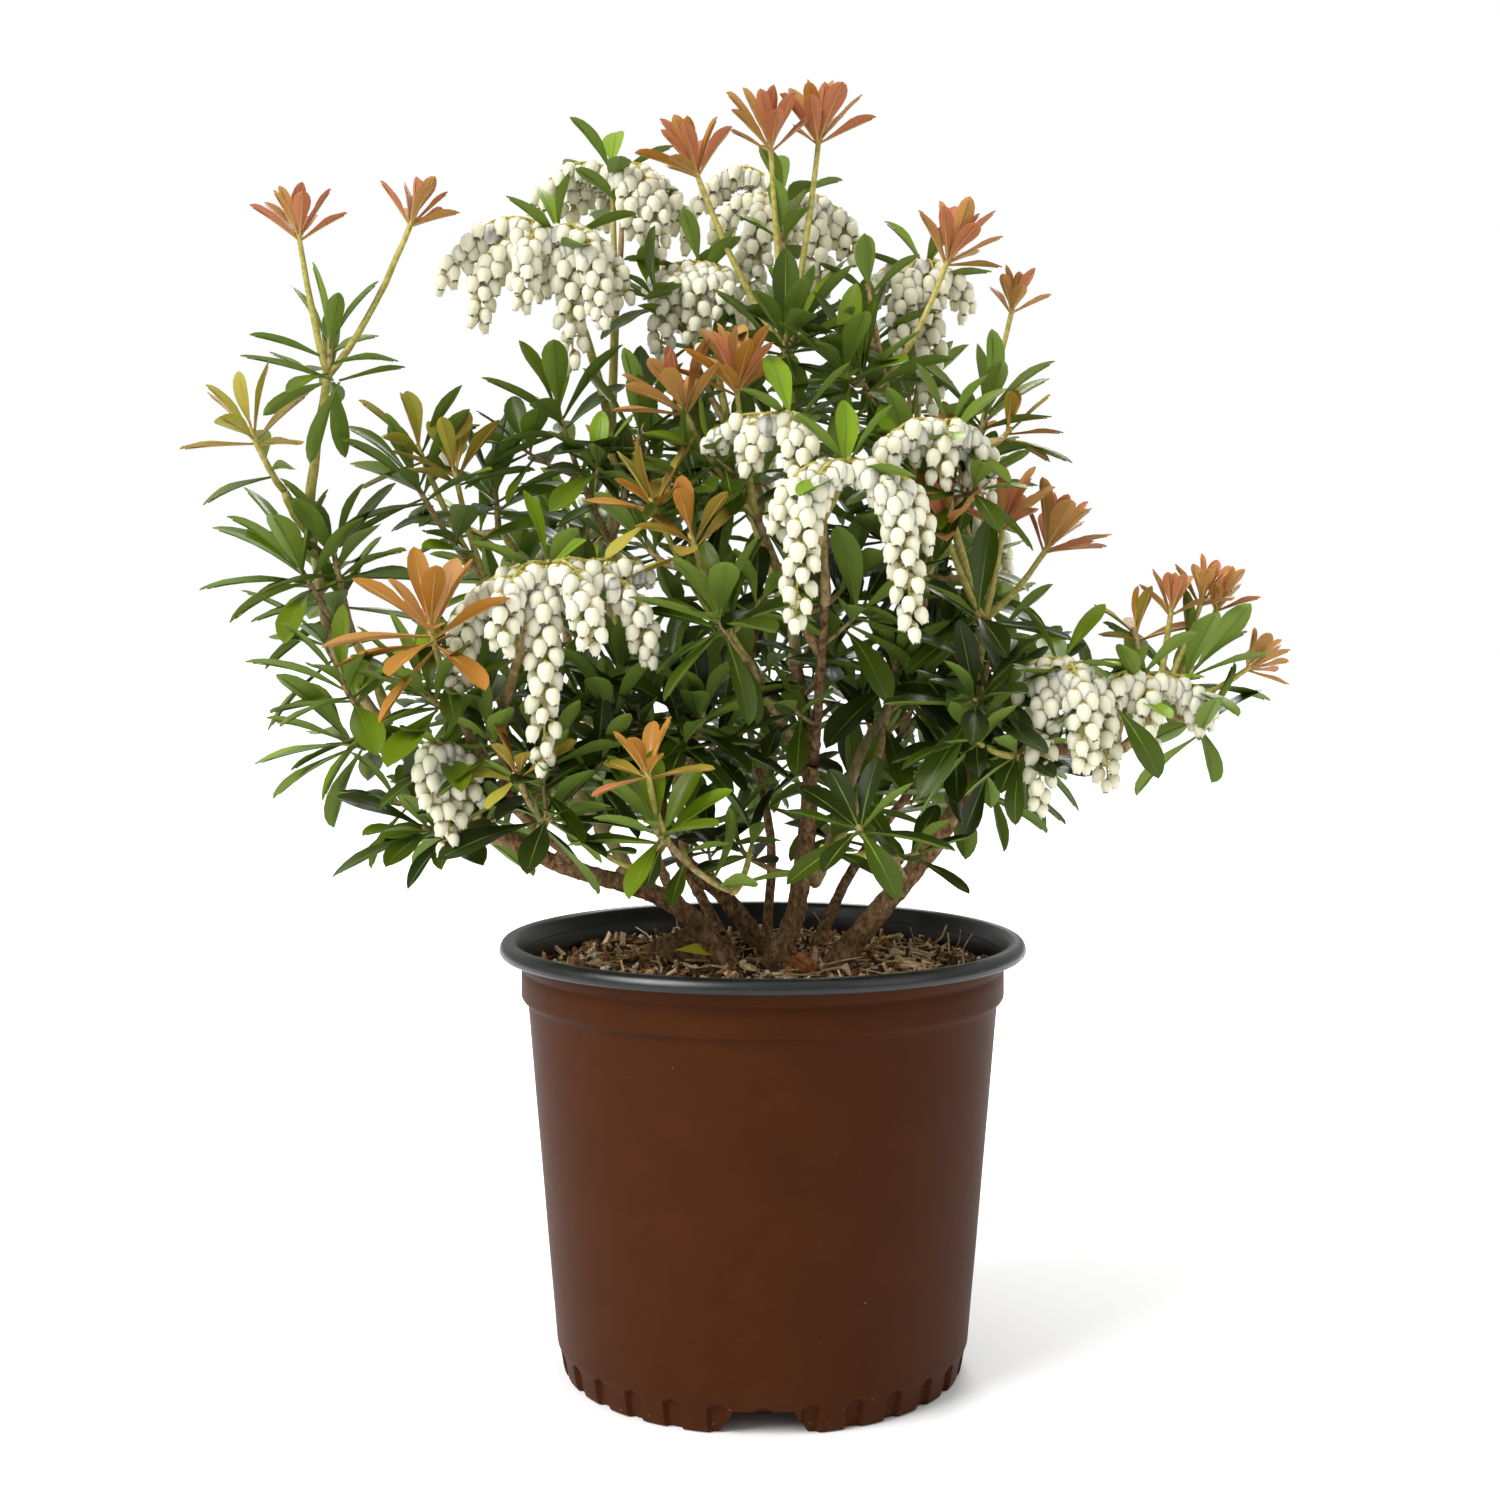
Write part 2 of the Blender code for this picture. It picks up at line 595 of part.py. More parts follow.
def add_bell(bm, root, direction, length, width, grow=0.0):
    """A hanging flower as a three-sided drop."""
    across, beside = cross_section(direction)
    half = width / 2 + grow
    belly = root + direction * length * 0.6
    top = bm.verts.new(root - direction * grow)
    foot = bm.verts.new(root + direction * (length + grow))
    ring = []
    for side in range(3):
        angle = math.tau * side / 3
        ring.append(bm.verts.new(belly + half * (math.cos(angle) * across + math.sin(angle) * beside)))
    for here, following in zip(ring, ring[1:] + ring[:1]):
        bm.faces.new((top, here, following))
        bm.faces.new((foot, following, here))


def bvh_of(bm):
    bmesh.ops.recalc_face_normals(bm, faces=bm.faces[:])
    return BVHTree.FromBMesh(bm)


def bvh_of_object(placed):
    bm = bmesh.new()
    bm.from_mesh(placed.data)
    bmesh.ops.scale(bm, vec=[1 / METRES] * 3, verts=bm.verts[:])
    tree = BVHTree.FromBMesh(bm)
    bm.free()
    return tree


class Room:
    """What has been built so far, and who owns it, so that nothing new runs into it."""

    def __init__(self):
        self.taken = []

    def add(self, owner, tree, low, high):
        self.taken.append((owner, tree, low, high))

    def clear(self, owner, piece):
        """A piece may touch its own mass near its root only, and other solids nowhere."""
        for other, taken, low, high in self.taken:
            if any(piece.low[i] > high[i] or piece.high[i] < low[i] for i in range(3)):
                continue
            tree = piece.outer if other == owner else piece.tree
            if tree and tree.overlap(taken):
                return False
        return True


def box_of(bm):
    corners = [vertex.co for vertex in bm.verts]
    low = [min(corner[i] for corner in corners) for i in range(3)]
    high = [max(corner[i] for corner in corners) for i in range(3)]
    return low, high


def in_crown(low, high):
    return (
        low[0] > CROWN_LEFT
        and high[0] < CROWN_RIGHT
        and low[1] > CROWN_FRONT
        and high[1] < CROWN_BACK
        and low[2] > CROWN_LOW
        and high[2] < CROWN_TOP
    )


class Piece:
    """One piece of a mass: its solid, the same swollen to test its room, and its part past the root."""

    def __init__(self, build, root_share=None):
        self.solid = bmesh.new()
        build(self.solid, 0.0, 0.0)
        swollen = bmesh.new()
        build(swollen, 0.45, 0.0)
        self.low, self.high = box_of(swollen)
        self.tree = bvh_of(swollen)
        swollen.free()
        self.outer = None
        if root_share:
            beyond_root = bmesh.new()
            build(beyond_root, 0.0, root_share)
            self.outer = bvh_of(beyond_root)
            beyond_root.free()


def place(room, mass, piece, kept):
    """Keeps the piece if it has room, and says whether it did."""
    if not in_crown(piece.low, piece.high) or not room.clear(mass.name, piece):
        return False
    room.add(mass.name, piece.tree, piece.low, piece.high)
    kept.append(piece.solid)
    return True


def tube_piece(path, start, end, foot_faces=None):
    """A three-sided twig."""
    facing = foot_faces or (path[1] - path[0]).normalized()

    def build(bm, grow, _):
        add_tube(bm, path, [radius + grow for radius in tapered(path, start, end)], 3, facing)

    return Piece(build)


def leaf_piece(root, direction, face_up, length, width):
    def build(bm, grow, root_share):
        inset = direction * length * root_share
        add_leaf(bm, root + inset, direction, face_up, length * (1 - root_share), width, grow)

    return Piece(build, 0.3)


def bell_piece(root, direction):
    def build(bm, grow, root_share):
        inset = direction * BELL_LENGTH * root_share
        add_bell(bm, root + inset, direction, BELL_LENGTH * (1 - root_share), BELL_WIDTH, grow)

    return Piece(build, 0.4)


def heading(degrees):
    """A level direction: 0 is +X and 90 is to the back."""
    return Vector((math.cos(math.radians(degrees)), math.sin(math.radians(degrees)), 0.0))


def shoot_path(fork, tip):
    """A shoot leaves its fork outwards and bends up to its tip."""
    corner = fork.lerp(tip, 0.5)
    corner.z -= 0.16 * (tip - fork).length
    return arc_path(fork, corner, tip, 2)


def raceme_path(crest, fall):
    """A raceme arches out from the panicle and hangs."""
    towards, reach, drop = fall
    out = heading(towards)
    end = crest + out * reach - UP * drop
    corner = crest + out * reach * 0.9 + UP * 6.0
    return arc_path(crest, corner, end, 2)


def whorl_pieces(path, whorl, rng):
    """The leaves round a shoot's tip, newest first."""
    axis = (path[-1] - path[-2]).normalized()
    across, beside = cross_section(axis)
    start = rng.uniform(0, math.tau)
    for index in range(whorl.leaves):
        age = index / (whorl.leaves - 1)
        lean = math.radians(whorl.newest + (whorl.oldest - whorl.newest) * age + rng.uniform(-6, 6))
        turn = start + TURN * index
        out = math.cos(turn) * across + math.sin(turn) * beside
        direction = (axis * math.cos(lean) + out * math.sin(lean)).normalized()
        root = path[-1] - axis * (0.8 + whorl.depth * age) - direction * ROOT_DEPTH
        size = rng.uniform(0.88, 1.08) * (0.82 + 0.18 * age)
        face_up = (axis * 0.4 + UP).normalized()
        if abs(direction.dot(face_up)) > 0.96:
            face_up = out
        yield leaf_piece(root, direction, face_up, whorl.length * size, whorl.width * size)


def side_leaf_piece(path, whorl, rng):
    """The leaf half way up a long shoot."""
    axis = (path[2] - path[1]).normalized()
    across, beside = cross_section(axis)
    turn = rng.uniform(0, math.tau)
    out = math.cos(turn) * across + math.sin(turn) * beside
    direction = (axis * 0.25 + out + UP * 0.1).normalized()
    root = path[1].lerp(path[2], 0.2) - direction * ROOT_DEPTH
    return leaf_piece(root, direction, UP, whorl.length * 0.85, whorl.width * 0.85)


def bell_pieces(path, rng):
    """Bells along a raceme, to the left and right in turn, all hanging."""
    lengths = [0.0]
    for here, there in zip(path, path[1:]):
        lengths.append(lengths[-1] + (there - here).length)
    count = max(2, round((lengths[-1] - 6.0) / BELL_STEP))
    side = 1
    for index in range(count):
        distance = lengths[-1] * (index + 0.9) / count
        distance = min(distance, lengths[-1] - 0.8)
        span = max(i for i in range(len(path) - 1) if lengths[i] <= distance)
        share = (distance - lengths[span]) / (lengths[span + 1] - lengths[span])
        point = path[span].lerp(path[span + 1], share)
        along = (path[span + 1] - path[span]).normalized()
        beside = along.cross(UP)
        if beside.length < 0.3:
            beside = along.cross(heading(rng.uniform(0, 360)))
        direction = (beside.normalized() * side * 0.8 - UP).normalized()
        side = -side
        yield bell_piece(point - direction * ROOT_DEPTH, direction)


def grow_stems(mass, grown, room, rng):
    """The mass's stem and its shoots, before any leaf. Returns the kept solids and the shoots' paths."""
    kept = []
    paths = []
    tips = [Vector(shoot.tip) for shoot in mass.shoots]
    middle = sum(tips, Vector()) / len(tips)
    foot, out = grown[mass.limb].start_towards(mass.along, middle, TWIG_GAP)
    fork = foot.lerp(middle, mass.fork)
    stem = [foot, foot.lerp(fork, 0.4) + out * 3.0, fork]
    if not place(room, mass, tube_piece(stem, STEM_RADIUS, STEM_RADIUS * 0.85, out), kept):
        print("no room for the stem of", mass.name)
    root = fork - (fork - stem[-2]).normalized() * 1.0
    for shoot, tip in zip(mass.shoots, tips):
        path = shoot_path(root, tip)
        if not place(room, mass, tube_piece(path, TWIG_RADIUS * 1.1, TWIG_RADIUS * 0.7), kept):
            print("no room for a shoot of", mass.name, shoot.kind)
            continue
        racemes = []
        for fall in shoot.falls:
            raceme = raceme_path(tip - (path[-1] - path[-2]).normalized() * rng.uniform(0.6, 3.0), fall)
            if place(room, mass, tube_piece(raceme, RACEME_RADIUS, RACEME_RADIUS * 0.7), kept):
                racemes.append(raceme)
            else:
                print("no room for a raceme of", mass.name, fall)
        paths.append((shoot, path, racemes))
    return kept, paths


def grow_leaves(mass, paths, room, rng, kept):
    asked = 0
    given = 0
    for shoot, path, racemes in paths:
        whorl = WHORLS[shoot.kind]
        pieces = [piece for raceme in racemes for piece in bell_pieces(raceme, rng)]
        pieces += whorl_pieces(path, whorl, rng)
        if shoot.kind == "green" and (path[-1] - path[0]).length > LONG_SHOOT:
            pieces.append(side_leaf_piece(path, whorl, rng))
        for piece in pieces:
            asked += 1
            given += place(room, mass, piece, kept)
    return asked, given


def join_mass(mass, kept):
    pieces = [mesh_object(f"{mass.name}_{index}", bm, mass.finish) for index, bm in enumerate(kept)]
    body = pieces[0]
    apply_boolean(body, "UNION", pieces[1:], "MANIFOLD")
    keep_largest_piece(body)
    body.name = mass.name
    body.data.name = mass.name
    return body


def add_masses(grown, room):
    generators = {mass.name: random.Random(101 + index) for index, mass in enumerate(MASSES)}
    stems = {mass.name: grow_stems(mass, grown, room, generators[mass.name]) for mass in MASSES}
    for mass in MASSES:
        kept, paths = stems[mass.name]
        asked, given = grow_leaves(mass, paths, room, generators[mass.name], kept)
        body = join_mass(mass, kept)
        print(f"{mass.name}: {given} of {asked} leaves and bells, {len(body.data.polygons)} faces")


def main():
    clear_scene()
    add_pot_wall()
    add_pot_rim()
    add_soil()
    grown = {}
    room = Room()
    solids = [bpy.data.objects[name] for name in ("pot_wall", "pot_rim", "soil")]
    solids.append(add_root_burl())
    solids += [grow_limb(limb, grown) for limb in LIMBS]
    for solid in solids:
        low = [min(corner[i] for corner in solid.bound_box) / METRES for i in range(3)]
        high = [max(corner[i] for corner in solid.bound_box) / METRES for i in range(3)]
        room.add(solid.name, bvh_of_object(solid), low, high)
    add_masses(grown, room)


main()
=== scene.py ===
# Potted pieris: an evergreen shrub in flower, standing in a brown nursery pot with a black lip.
# Lengths in the tables and in the growing code are millimetres; MeshStore turns them into metres.

import math
import random

import bmesh
import bpy
import numpy as np
from mathutils import Matrix, Vector, noise
from mathutils.kdtree import KDTree


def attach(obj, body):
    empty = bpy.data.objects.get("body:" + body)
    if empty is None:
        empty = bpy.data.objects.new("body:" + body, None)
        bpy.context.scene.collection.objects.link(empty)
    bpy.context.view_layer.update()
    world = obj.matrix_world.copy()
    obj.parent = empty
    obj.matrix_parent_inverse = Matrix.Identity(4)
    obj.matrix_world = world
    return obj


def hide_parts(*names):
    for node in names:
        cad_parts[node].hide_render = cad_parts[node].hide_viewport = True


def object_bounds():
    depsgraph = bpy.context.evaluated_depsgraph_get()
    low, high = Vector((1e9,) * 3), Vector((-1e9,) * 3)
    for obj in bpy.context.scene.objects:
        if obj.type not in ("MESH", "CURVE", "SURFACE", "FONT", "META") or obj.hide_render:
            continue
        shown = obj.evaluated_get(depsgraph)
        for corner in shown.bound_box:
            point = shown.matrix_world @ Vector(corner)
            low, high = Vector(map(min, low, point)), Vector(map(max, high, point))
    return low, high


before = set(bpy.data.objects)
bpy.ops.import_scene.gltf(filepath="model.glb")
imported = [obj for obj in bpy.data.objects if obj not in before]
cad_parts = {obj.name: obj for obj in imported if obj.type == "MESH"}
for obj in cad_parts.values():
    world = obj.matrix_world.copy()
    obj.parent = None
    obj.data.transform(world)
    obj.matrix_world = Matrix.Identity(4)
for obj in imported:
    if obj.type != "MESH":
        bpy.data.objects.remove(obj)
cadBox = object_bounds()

metresPerMm = 0.001
up = Vector((0.0, 0.0, 1.0))
spiralTurn = math.radians(137.5)  # the turn from one leaf to the next up a shoot
crownLow = Vector(cadBox[0]) / metresPerMm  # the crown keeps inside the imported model's box
crownHigh = Vector(cadBox[1]) / metresPerMm
seeds = {"chips": 21, "litter": 33, "masses": 301, "sideShoots": 59, "sprigs": 77}


def toLinear(hexColour):
    channels = [int(hexColour[i:i + 2], 16) / 255 for i in (1, 3, 5)]
    linear = [c / 12.92 if c <= 0.04045 else ((c + 0.055) / 1.055) ** 2.4 for c in channels]
    return (*linear, 1.0)


def addNode(material, kind, inputs=None, **settings):
    # inputs: socket name or number -> a value, or (node, its output) to link
    node = material.node_tree.nodes.new(kind)
    for key, value in settings.items():
        setattr(node, key, value)
    for socket, value in (inputs or {}).items():
        if isinstance(value, tuple) and isinstance(value[0], bpy.types.Node):
            material.node_tree.links.new(value[0].outputs[value[1]], node.inputs[socket])
        else:
            node.inputs[socket].default_value = value
    return node


def newMaterial(name, colour, roughness, **shaderValues):
    material = bpy.data.materials.new(name)
    material.use_nodes = True
    material.diffuse_color = toLinear(colour)
    shader = material.node_tree.nodes["Principled BSDF"]
    shader.inputs["Base Color"].default_value = toLinear(colour)
    shader.inputs["Roughness"].default_value = roughness
    for socket, value in shaderValues.items():
        shader.inputs[socket.replace("_", " ")].default_value = value
    return material, shader


def objectPlace(material):
    # object space is in metres, so a noise scale of 1000 / size gives features of that size in mm
    return addNode(material, "ShaderNodeTexCoord")


def noiseNode(material, place, sizeMm, detail=3.0, roughness=0.55, stretch=None):
    vector = (place, "Object")
    if stretch:
        vector = (addNode(material, "ShaderNodeMapping", {"Vector": vector, "Scale": stretch}), "Vector")
    return addNode(material, "ShaderNodeTexNoise",
                   {"Vector": vector, "Scale": 1000.0 / sizeMm, "Detail": detail, "Roughness": roughness})


def colourRamp(material, factor, stops):
    ramp = addNode(material, "ShaderNodeValToRGB", {"Fac": factor})
    elements = ramp.color_ramp.elements
    while len(elements) < len(stops):
        elements.new(0.5)
    for element, (position, colour) in zip(elements, stops):
        element.position = position
        element.color = toLinear(colour)
    return ramp


def bumpInto(material, shader, height, strength, depthMm):
    bump = addNode(material, "ShaderNodeBump",
                   {"Height": height, "Strength": strength, "Distance": depthMm * metresPerMm})
    material.node_tree.links.new(bump.outputs["Normal"], shader.inputs["Normal"])


def linkColour(material, shader, node, output="Color"):
    material.node_tree.links.new(node.outputs[output], shader.inputs["Base Color"])


def linkRoughness(material, shader, factor, low, high):
    spread = addNode(material, "ShaderNodeMapRange", {"Value": factor, "To Min": low, "To Max": high})
    material.node_tree.links.new(spread.outputs["Result"], shader.inputs["Roughness"])


class MeshStore:
    # gathers the points and faces of many small shapes, then makes one piece of them

    def __init__(self):
        self.points = []
        self.faces = []
        self.count = 0

    def add(self, points, faces):
        points = np.asarray(points, float).reshape(-1, 3)
        self.points.append(points)
        start = self.count
        self.faces.extend(tuple(start + int(i) for i in face) for face in faces)
        self.count += len(points)

    def addMany(self, points, faces):
        # points: one block of vertices for each copy; faces: the template's faces
        copies, size = points.shape[:2]
        self.points.append(points.reshape(-1, 3))
        starts = self.count + size * np.arange(copies)
        groups = {}
        for face in faces:
            groups.setdefault(len(face), []).append(face)
        for group in groups.values():
            block = (np.array(group)[None] + starts[:, None, None]).reshape(-1, len(group[0]))
            self.faces.extend(map(tuple, block.tolist()))
        self.count += copies * size

    def build(self, name, material, slot, replaced=(), sharpAngle=None):
        mesh = bpy.data.meshes.new(name)
        mesh.from_pydata((np.vstack(self.points) * metresPerMm).tolist(), [], self.faces)
        mesh.materials.append(material)
        mesh.shade_smooth()
        if sharpAngle:
            mesh.set_sharp_from_angle(angle=math.radians(sharpAngle))
        mesh.validate()
        piece = addObject(name, mesh)
        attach(piece, "root")
        if replaced:
            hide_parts(*replaced)
        print(f"  {name}: {sum(len(face) - 2 for face in self.faces)} triangles")
        return piece


def heading(degrees):
    return Vector((math.cos(math.radians(degrees)), math.sin(math.radians(degrees)), 0.0))


def jitter(rng, reach):
    return Vector([rng.uniform(-reach, reach) for _ in range(3)])


def addObject(name, data):
    made = bpy.data.objects.new(name, data)
    bpy.context.scene.collection.objects.link(made)
    return made


def ringPoints(radius, angles, height):
    return np.stack([radius * np.cos(angles), radius * np.sin(angles), np.full(len(angles), height)], 1)


def ringFaces(rings, sides):
    # a band of four-sided faces between each ring of points and the next
    return [(ring * sides + side, ring * sides + (side + 1) % sides,
             (ring + 1) * sides + (side + 1) % sides, (ring + 1) * sides + side)
            for ring in range(rings - 1) for side in range(sides)]


def tubeFaces(rings, sides):
    # the same, closed by a face at each end
    return ringFaces(rings, sides) + [tuple(reversed(range(sides))),
                                      tuple((rings - 1) * sides + side for side in range(sides))]


boxFaces = ((0, 1, 3, 2), (4, 6, 7, 5), (0, 4, 5, 1), (2, 3, 7, 6), (0, 2, 6, 4), (1, 5, 7, 3))


def crossSection(tangent):
    aside = tangent.cross(up if abs(tangent.z) < 0.7 else Vector((1.0, 0.0, 0.0))).normalized()
    return aside, tangent.cross(aside)


def outward(axis, turn):
    across, beside = crossSection(axis)
    return math.cos(turn) * across + math.sin(turn) * beside


def smoothStep(low, high, value):
    share = np.clip((value - low) / (high - low), 0.0, 1.0)
    return share * share * (3 - 2 * share)


def mouldedPolypropylene():
    # Brown polypropylene from a mould: satin, faintly clouded and grained, with pale scuffs round the foot
    material, shader = newMaterial("mouldedPolypropylene", "#3f1e08", 0.5, Specular_IOR_Level=0.06)
    place = objectPlace(material)
    cloud = noiseNode(material, place, 26.0, 7.0, 0.6)
    tone = colourRamp(material, (cloud, "Fac"), ((0.3, "#3c1c08"), (0.52, "#3f1e09"), (0.72, "#43210c")))
    specks = noiseNode(material, place, 2.6, 4.0, 0.75)
    height = addNode(material, "ShaderNodeSeparateXYZ", {"Vector": (place, "Object")})
    low = addNode(material, "ShaderNodeMapRange", {
        "Value": (height, "Z"), "From Min": 0.017, "From Max": 0.003, "To Min": -0.07, "To Max": 0.0})
    worn = addNode(material, "ShaderNodeMath", {0: (specks, "Fac"), 1: (low, "Result")}, operation="ADD")
    mask = colourRamp(material, (worn, "Value"), ((0.655, "#000000"), (0.69, "#ffffff")))
    scuffed = addNode(material, "ShaderNodeMix", {
        0: (mask, "Color"), 6: (tone, "Color"), 7: toLinear("#a08a7a")}, data_type="RGBA")
    linkColour(material, shader, scuffed, "Result")
    grain = noiseNode(material, place, 0.9, 2.0)
    linkRoughness(material, shader, (cloud, "Fac"), 0.42, 0.58)
    bumpInto(material, shader, (grain, "Fac"), 0.16, 0.12)
    return material


def polishedBlackPlastic():
    # Black polypropylene lip: rolled smooth, so it carries a soft bright line; rubbed grey here and there
    material, shader = newMaterial("polishedBlackPlastic", "#0d0e0f", 0.3, Specular_IOR_Level=0.5)
    place = objectPlace(material)
    scuff = noiseNode(material, place, 9.0, 6.0, 0.7, (1.0, 1.0, 5.0))
    tone = colourRamp(material, (scuff, "Fac"), ((0.4, "#0b0c0d"), (0.64, "#141617"), (0.78, "#3a3c3b")))
    linkColour(material, shader, tone)
    linkRoughness(material, shader, (scuff, "Fac"), 0.2, 0.46)
    bumpInto(material, shader, (noiseNode(material, place, 1.4, 2.0), "Fac"), 0.08, 0.1)
    return material


# Finishes whose colour follows one noise. pattern: its size in mm, detail, roughness and stretch.
# bump: strength and depth in mm, from the same noise or from one of its own, the grain.
mottled = {
    # Bark on old wood: dry and matt, grey-brown ridges over darker red-brown cracks
    "fissuredBark": {
        "colour": "#6a4c36", "roughness": 0.9, "specular": 0.25,
        "pattern": (2.3, 7.0, 0.76, (1.0, 1.0, 0.6)), "bump": (0.85, 0.6), "grain": (1.3, 6.0, 0.75),
        "tones": ((0.3, "#2e2015"), (0.43, "#66492f"), (0.56, "#957552"), (0.7, "#c9b08a"))},
    # Bark on two-year twigs: thinner and smoother, tan with a green cast
    "twigBark": {
        "colour": "#7d6640", "roughness": 0.78, "specular": 0.3,
        "pattern": (3.0, 4.0, 0.6), "bump": (0.5, 0.4),
        "tones": ((0.3, "#68532f"), (0.5, "#978054"), (0.72, "#bda776"))},
    # Bark on young boughs: thin and pale, tan with an olive cast
    "youngBark": {
        "colour": "#a8976a", "roughness": 0.75, "specular": 0.25,
        "pattern": (2.6, 5.0, 0.65, (1.0, 1.0, 0.4)), "bump": (0.5, 0.4),
        "tones": ((0.3, "#7b6843"), (0.5, "#a8976a"), (0.74, "#c9bb90"))},
    # Skin of this year's shoots: pale yellow-green, slightly waxy, with small warts
    "greenShootSkin": {
        "colour": "#a8a24e", "roughness": 0.5, "specular": 0.2,
        "pattern": (2.2, 3.0), "bump": (0.35, 0.3),
        "tones": ((0.3, "#8d8a3e"), (0.55, "#b0a558"), (0.8, "#cbbd82"))},
    # Sepals and flower stalks: dry yellow-green
    "calyxSkin": {
        "colour": "#c2ae4c", "roughness": 0.6, "specular": 0.2, "pattern": (2.5, 2.0),
        "tones": ((0.3, "#9a9040"), (0.55, "#b8ab56"), (0.8, "#d2ca8e"))},
    # Composted bark, kept damp and matt all over. Its colour follows the same noise as its bump: near black
    # in the hollows, which is painted shade, and paler on the crests
    "compostPaintedShade": {
        "colour": "#2b1a10", "roughness": 0.95, "specular": 0.2,
        "pattern": (3.2, 6.0, 0.7), "bump": (0.9, 1.6),
        "tones": ((0.36, "#120b06"), (0.48, "#453021"), (0.58, "#96714f"), (0.72, "#dcbc96"))},
}


def mottledFinish(name, colour, roughness, specular, pattern, tones, bump=None, grain=None):
    material, shader = newMaterial(name, colour, roughness, Specular_IOR_Level=specular)
    place = objectPlace(material)
    mottle = noiseNode(material, place, *pattern)
    linkColour(material, shader, colourRamp(material, (mottle, "Fac"), tones))
    if bump:
        relief = noiseNode(material, place, *grain) if grain else mottle
        bumpInto(material, shader, (relief, "Fac"), *bump)
    return material


def finish(name):
    return mottledFinish(name, **mottled[name])


def leafSkin(name, colour, roughness, coat=0.0):
    # Leathery leaf: a plain colour with a waxy sheen; the finest veins only roughen the gloss
    material, shader = newMaterial(name, colour, roughness, Specular_IOR_Level=0.2, Coat_Weight=coat)
    shader.inputs["Coat Roughness"].default_value = 0.25
    place = objectPlace(material)
    veins = noiseNode(material, place, 2.4, 3.0)
    linkRoughness(material, shader, (veins, "Fac"), roughness - 0.08, roughness + 0.12)
    bumpInto(material, shader, (veins, "Fac"), 0.22, 0.25)
    return material


def petalWax():
    # Thick waxy petals: cream white, and light passes a little way in, so shadows stay warm
    material, shader = newMaterial("petalWax", "#dfdcc4", 0.5, Subsurface_Weight=0.8,
                                   Specular_IOR_Level=0.25)
    shader.inputs["Subsurface Radius"].default_value = (1.0, 1.0, 0.9)
    shader.inputs["Subsurface Scale"].default_value = 4.0 * metresPerMm
    place = objectPlace(material)
    bumpInto(material, shader, (noiseNode(material, place, 1.5, 2.0), "Fac"), 0.12, 0.15)
    return material


def woodScrap(name, dark, middle, pale):
    # Torn bark and wood in the potting mix: fibrous, with streaks along the piece
    tones = ((0.3, dark), (0.52, middle), (0.78, pale))
    return mottledFinish(name, middle, 0.9, 0.2, (3.0, 5.0, 0.7), tones, (0.6, 0.5))


potWall = {
    "flutes": 29,
    "fluteWidth": 7.0,
    "fluteHeight": 12.6,
    "fluteDepth": 2.0,
    "fluteArch": 2.2,  # how far a flute's rounded top falls at its sides
    "fluteEdge": 0.5,
    "fluteRadius": 87.0,  # where the flutes' width is measured
    "insideRows": 4,  # the last rows of the profile are the inside
    "columnsPerFlute": 14,
    "profile": ((84.0, 0.0), (85.4, 0.6), (86.1, 2.0), (86.6, 4.0), (86.9, 6.0), (87.2, 8.0), (87.5, 9.6),
                (87.8, 10.8), (88.1, 11.8), (88.4, 12.6), (88.7, 13.4), (88.9, 14.6), (90.0, 29.0),
                (92.4, 58.0), (94.7, 88.0), (97.2, 119.0), (99.5, 149.0), (100.35, 159.6), (100.55, 160.6),
                (101.1, 161.3), (102.6, 162.2), (103.15, 163.2), (103.25, 164.6), (103.2, 170.0),
                (103.15, 173.6), (102.85, 174.4), (102.9, 175.2), (103.4, 175.9), (104.2, 178.0),
                (104.9, 180.4), (103.4, 180.4), (101.6, 164.5), (98.9, 161.0), (87.2, 12.5)),
    "channels": 4,
    "channelHeight": 10.5,
    "channelTopWidth": 24.0,
    "channelFootWidth": 36.0,
    "channelStart": 36.0,
    "channelEnd": 120.0,
}


def makePotWall():
    profile, edge, half = potWall["profile"], potWall["fluteEdge"], potWall["fluteWidth"] / 2
    columns = potWall["flutes"] * potWall["columnsPerFlute"]
    angles = np.arange(columns) / columns * math.tau - math.pi / 2
    pitch = math.tau / potWall["flutes"]
    offset = (angles + math.pi / 2 + pitch / 2) % pitch - pitch / 2
    across = np.abs(offset) * potWall["fluteRadius"]
    arch = potWall["fluteHeight"] - potWall["fluteArch"] * (across / half) ** 2
    rings = []
    for row, (radius, height) in enumerate(profile):
        inSlot = smoothStep(half + edge, half - edge, across) * smoothStep(arch + edge, arch - edge, height)
        depth = potWall["fluteDepth"] if row < len(profile) - potWall["insideRows"] else 0.0
        rings.append(ringPoints(radius - depth * inSlot, angles, height))
    store = MeshStore()
    store.add(np.vstack(rings), tubeFaces(len(profile), columns))
    wall = store.build("potWall", mouldedPolypropylene(), "brown_plastic", ("pot_wall",), 38)
    for index in range(potWall["channels"]):
        cutChannel(wall, index)


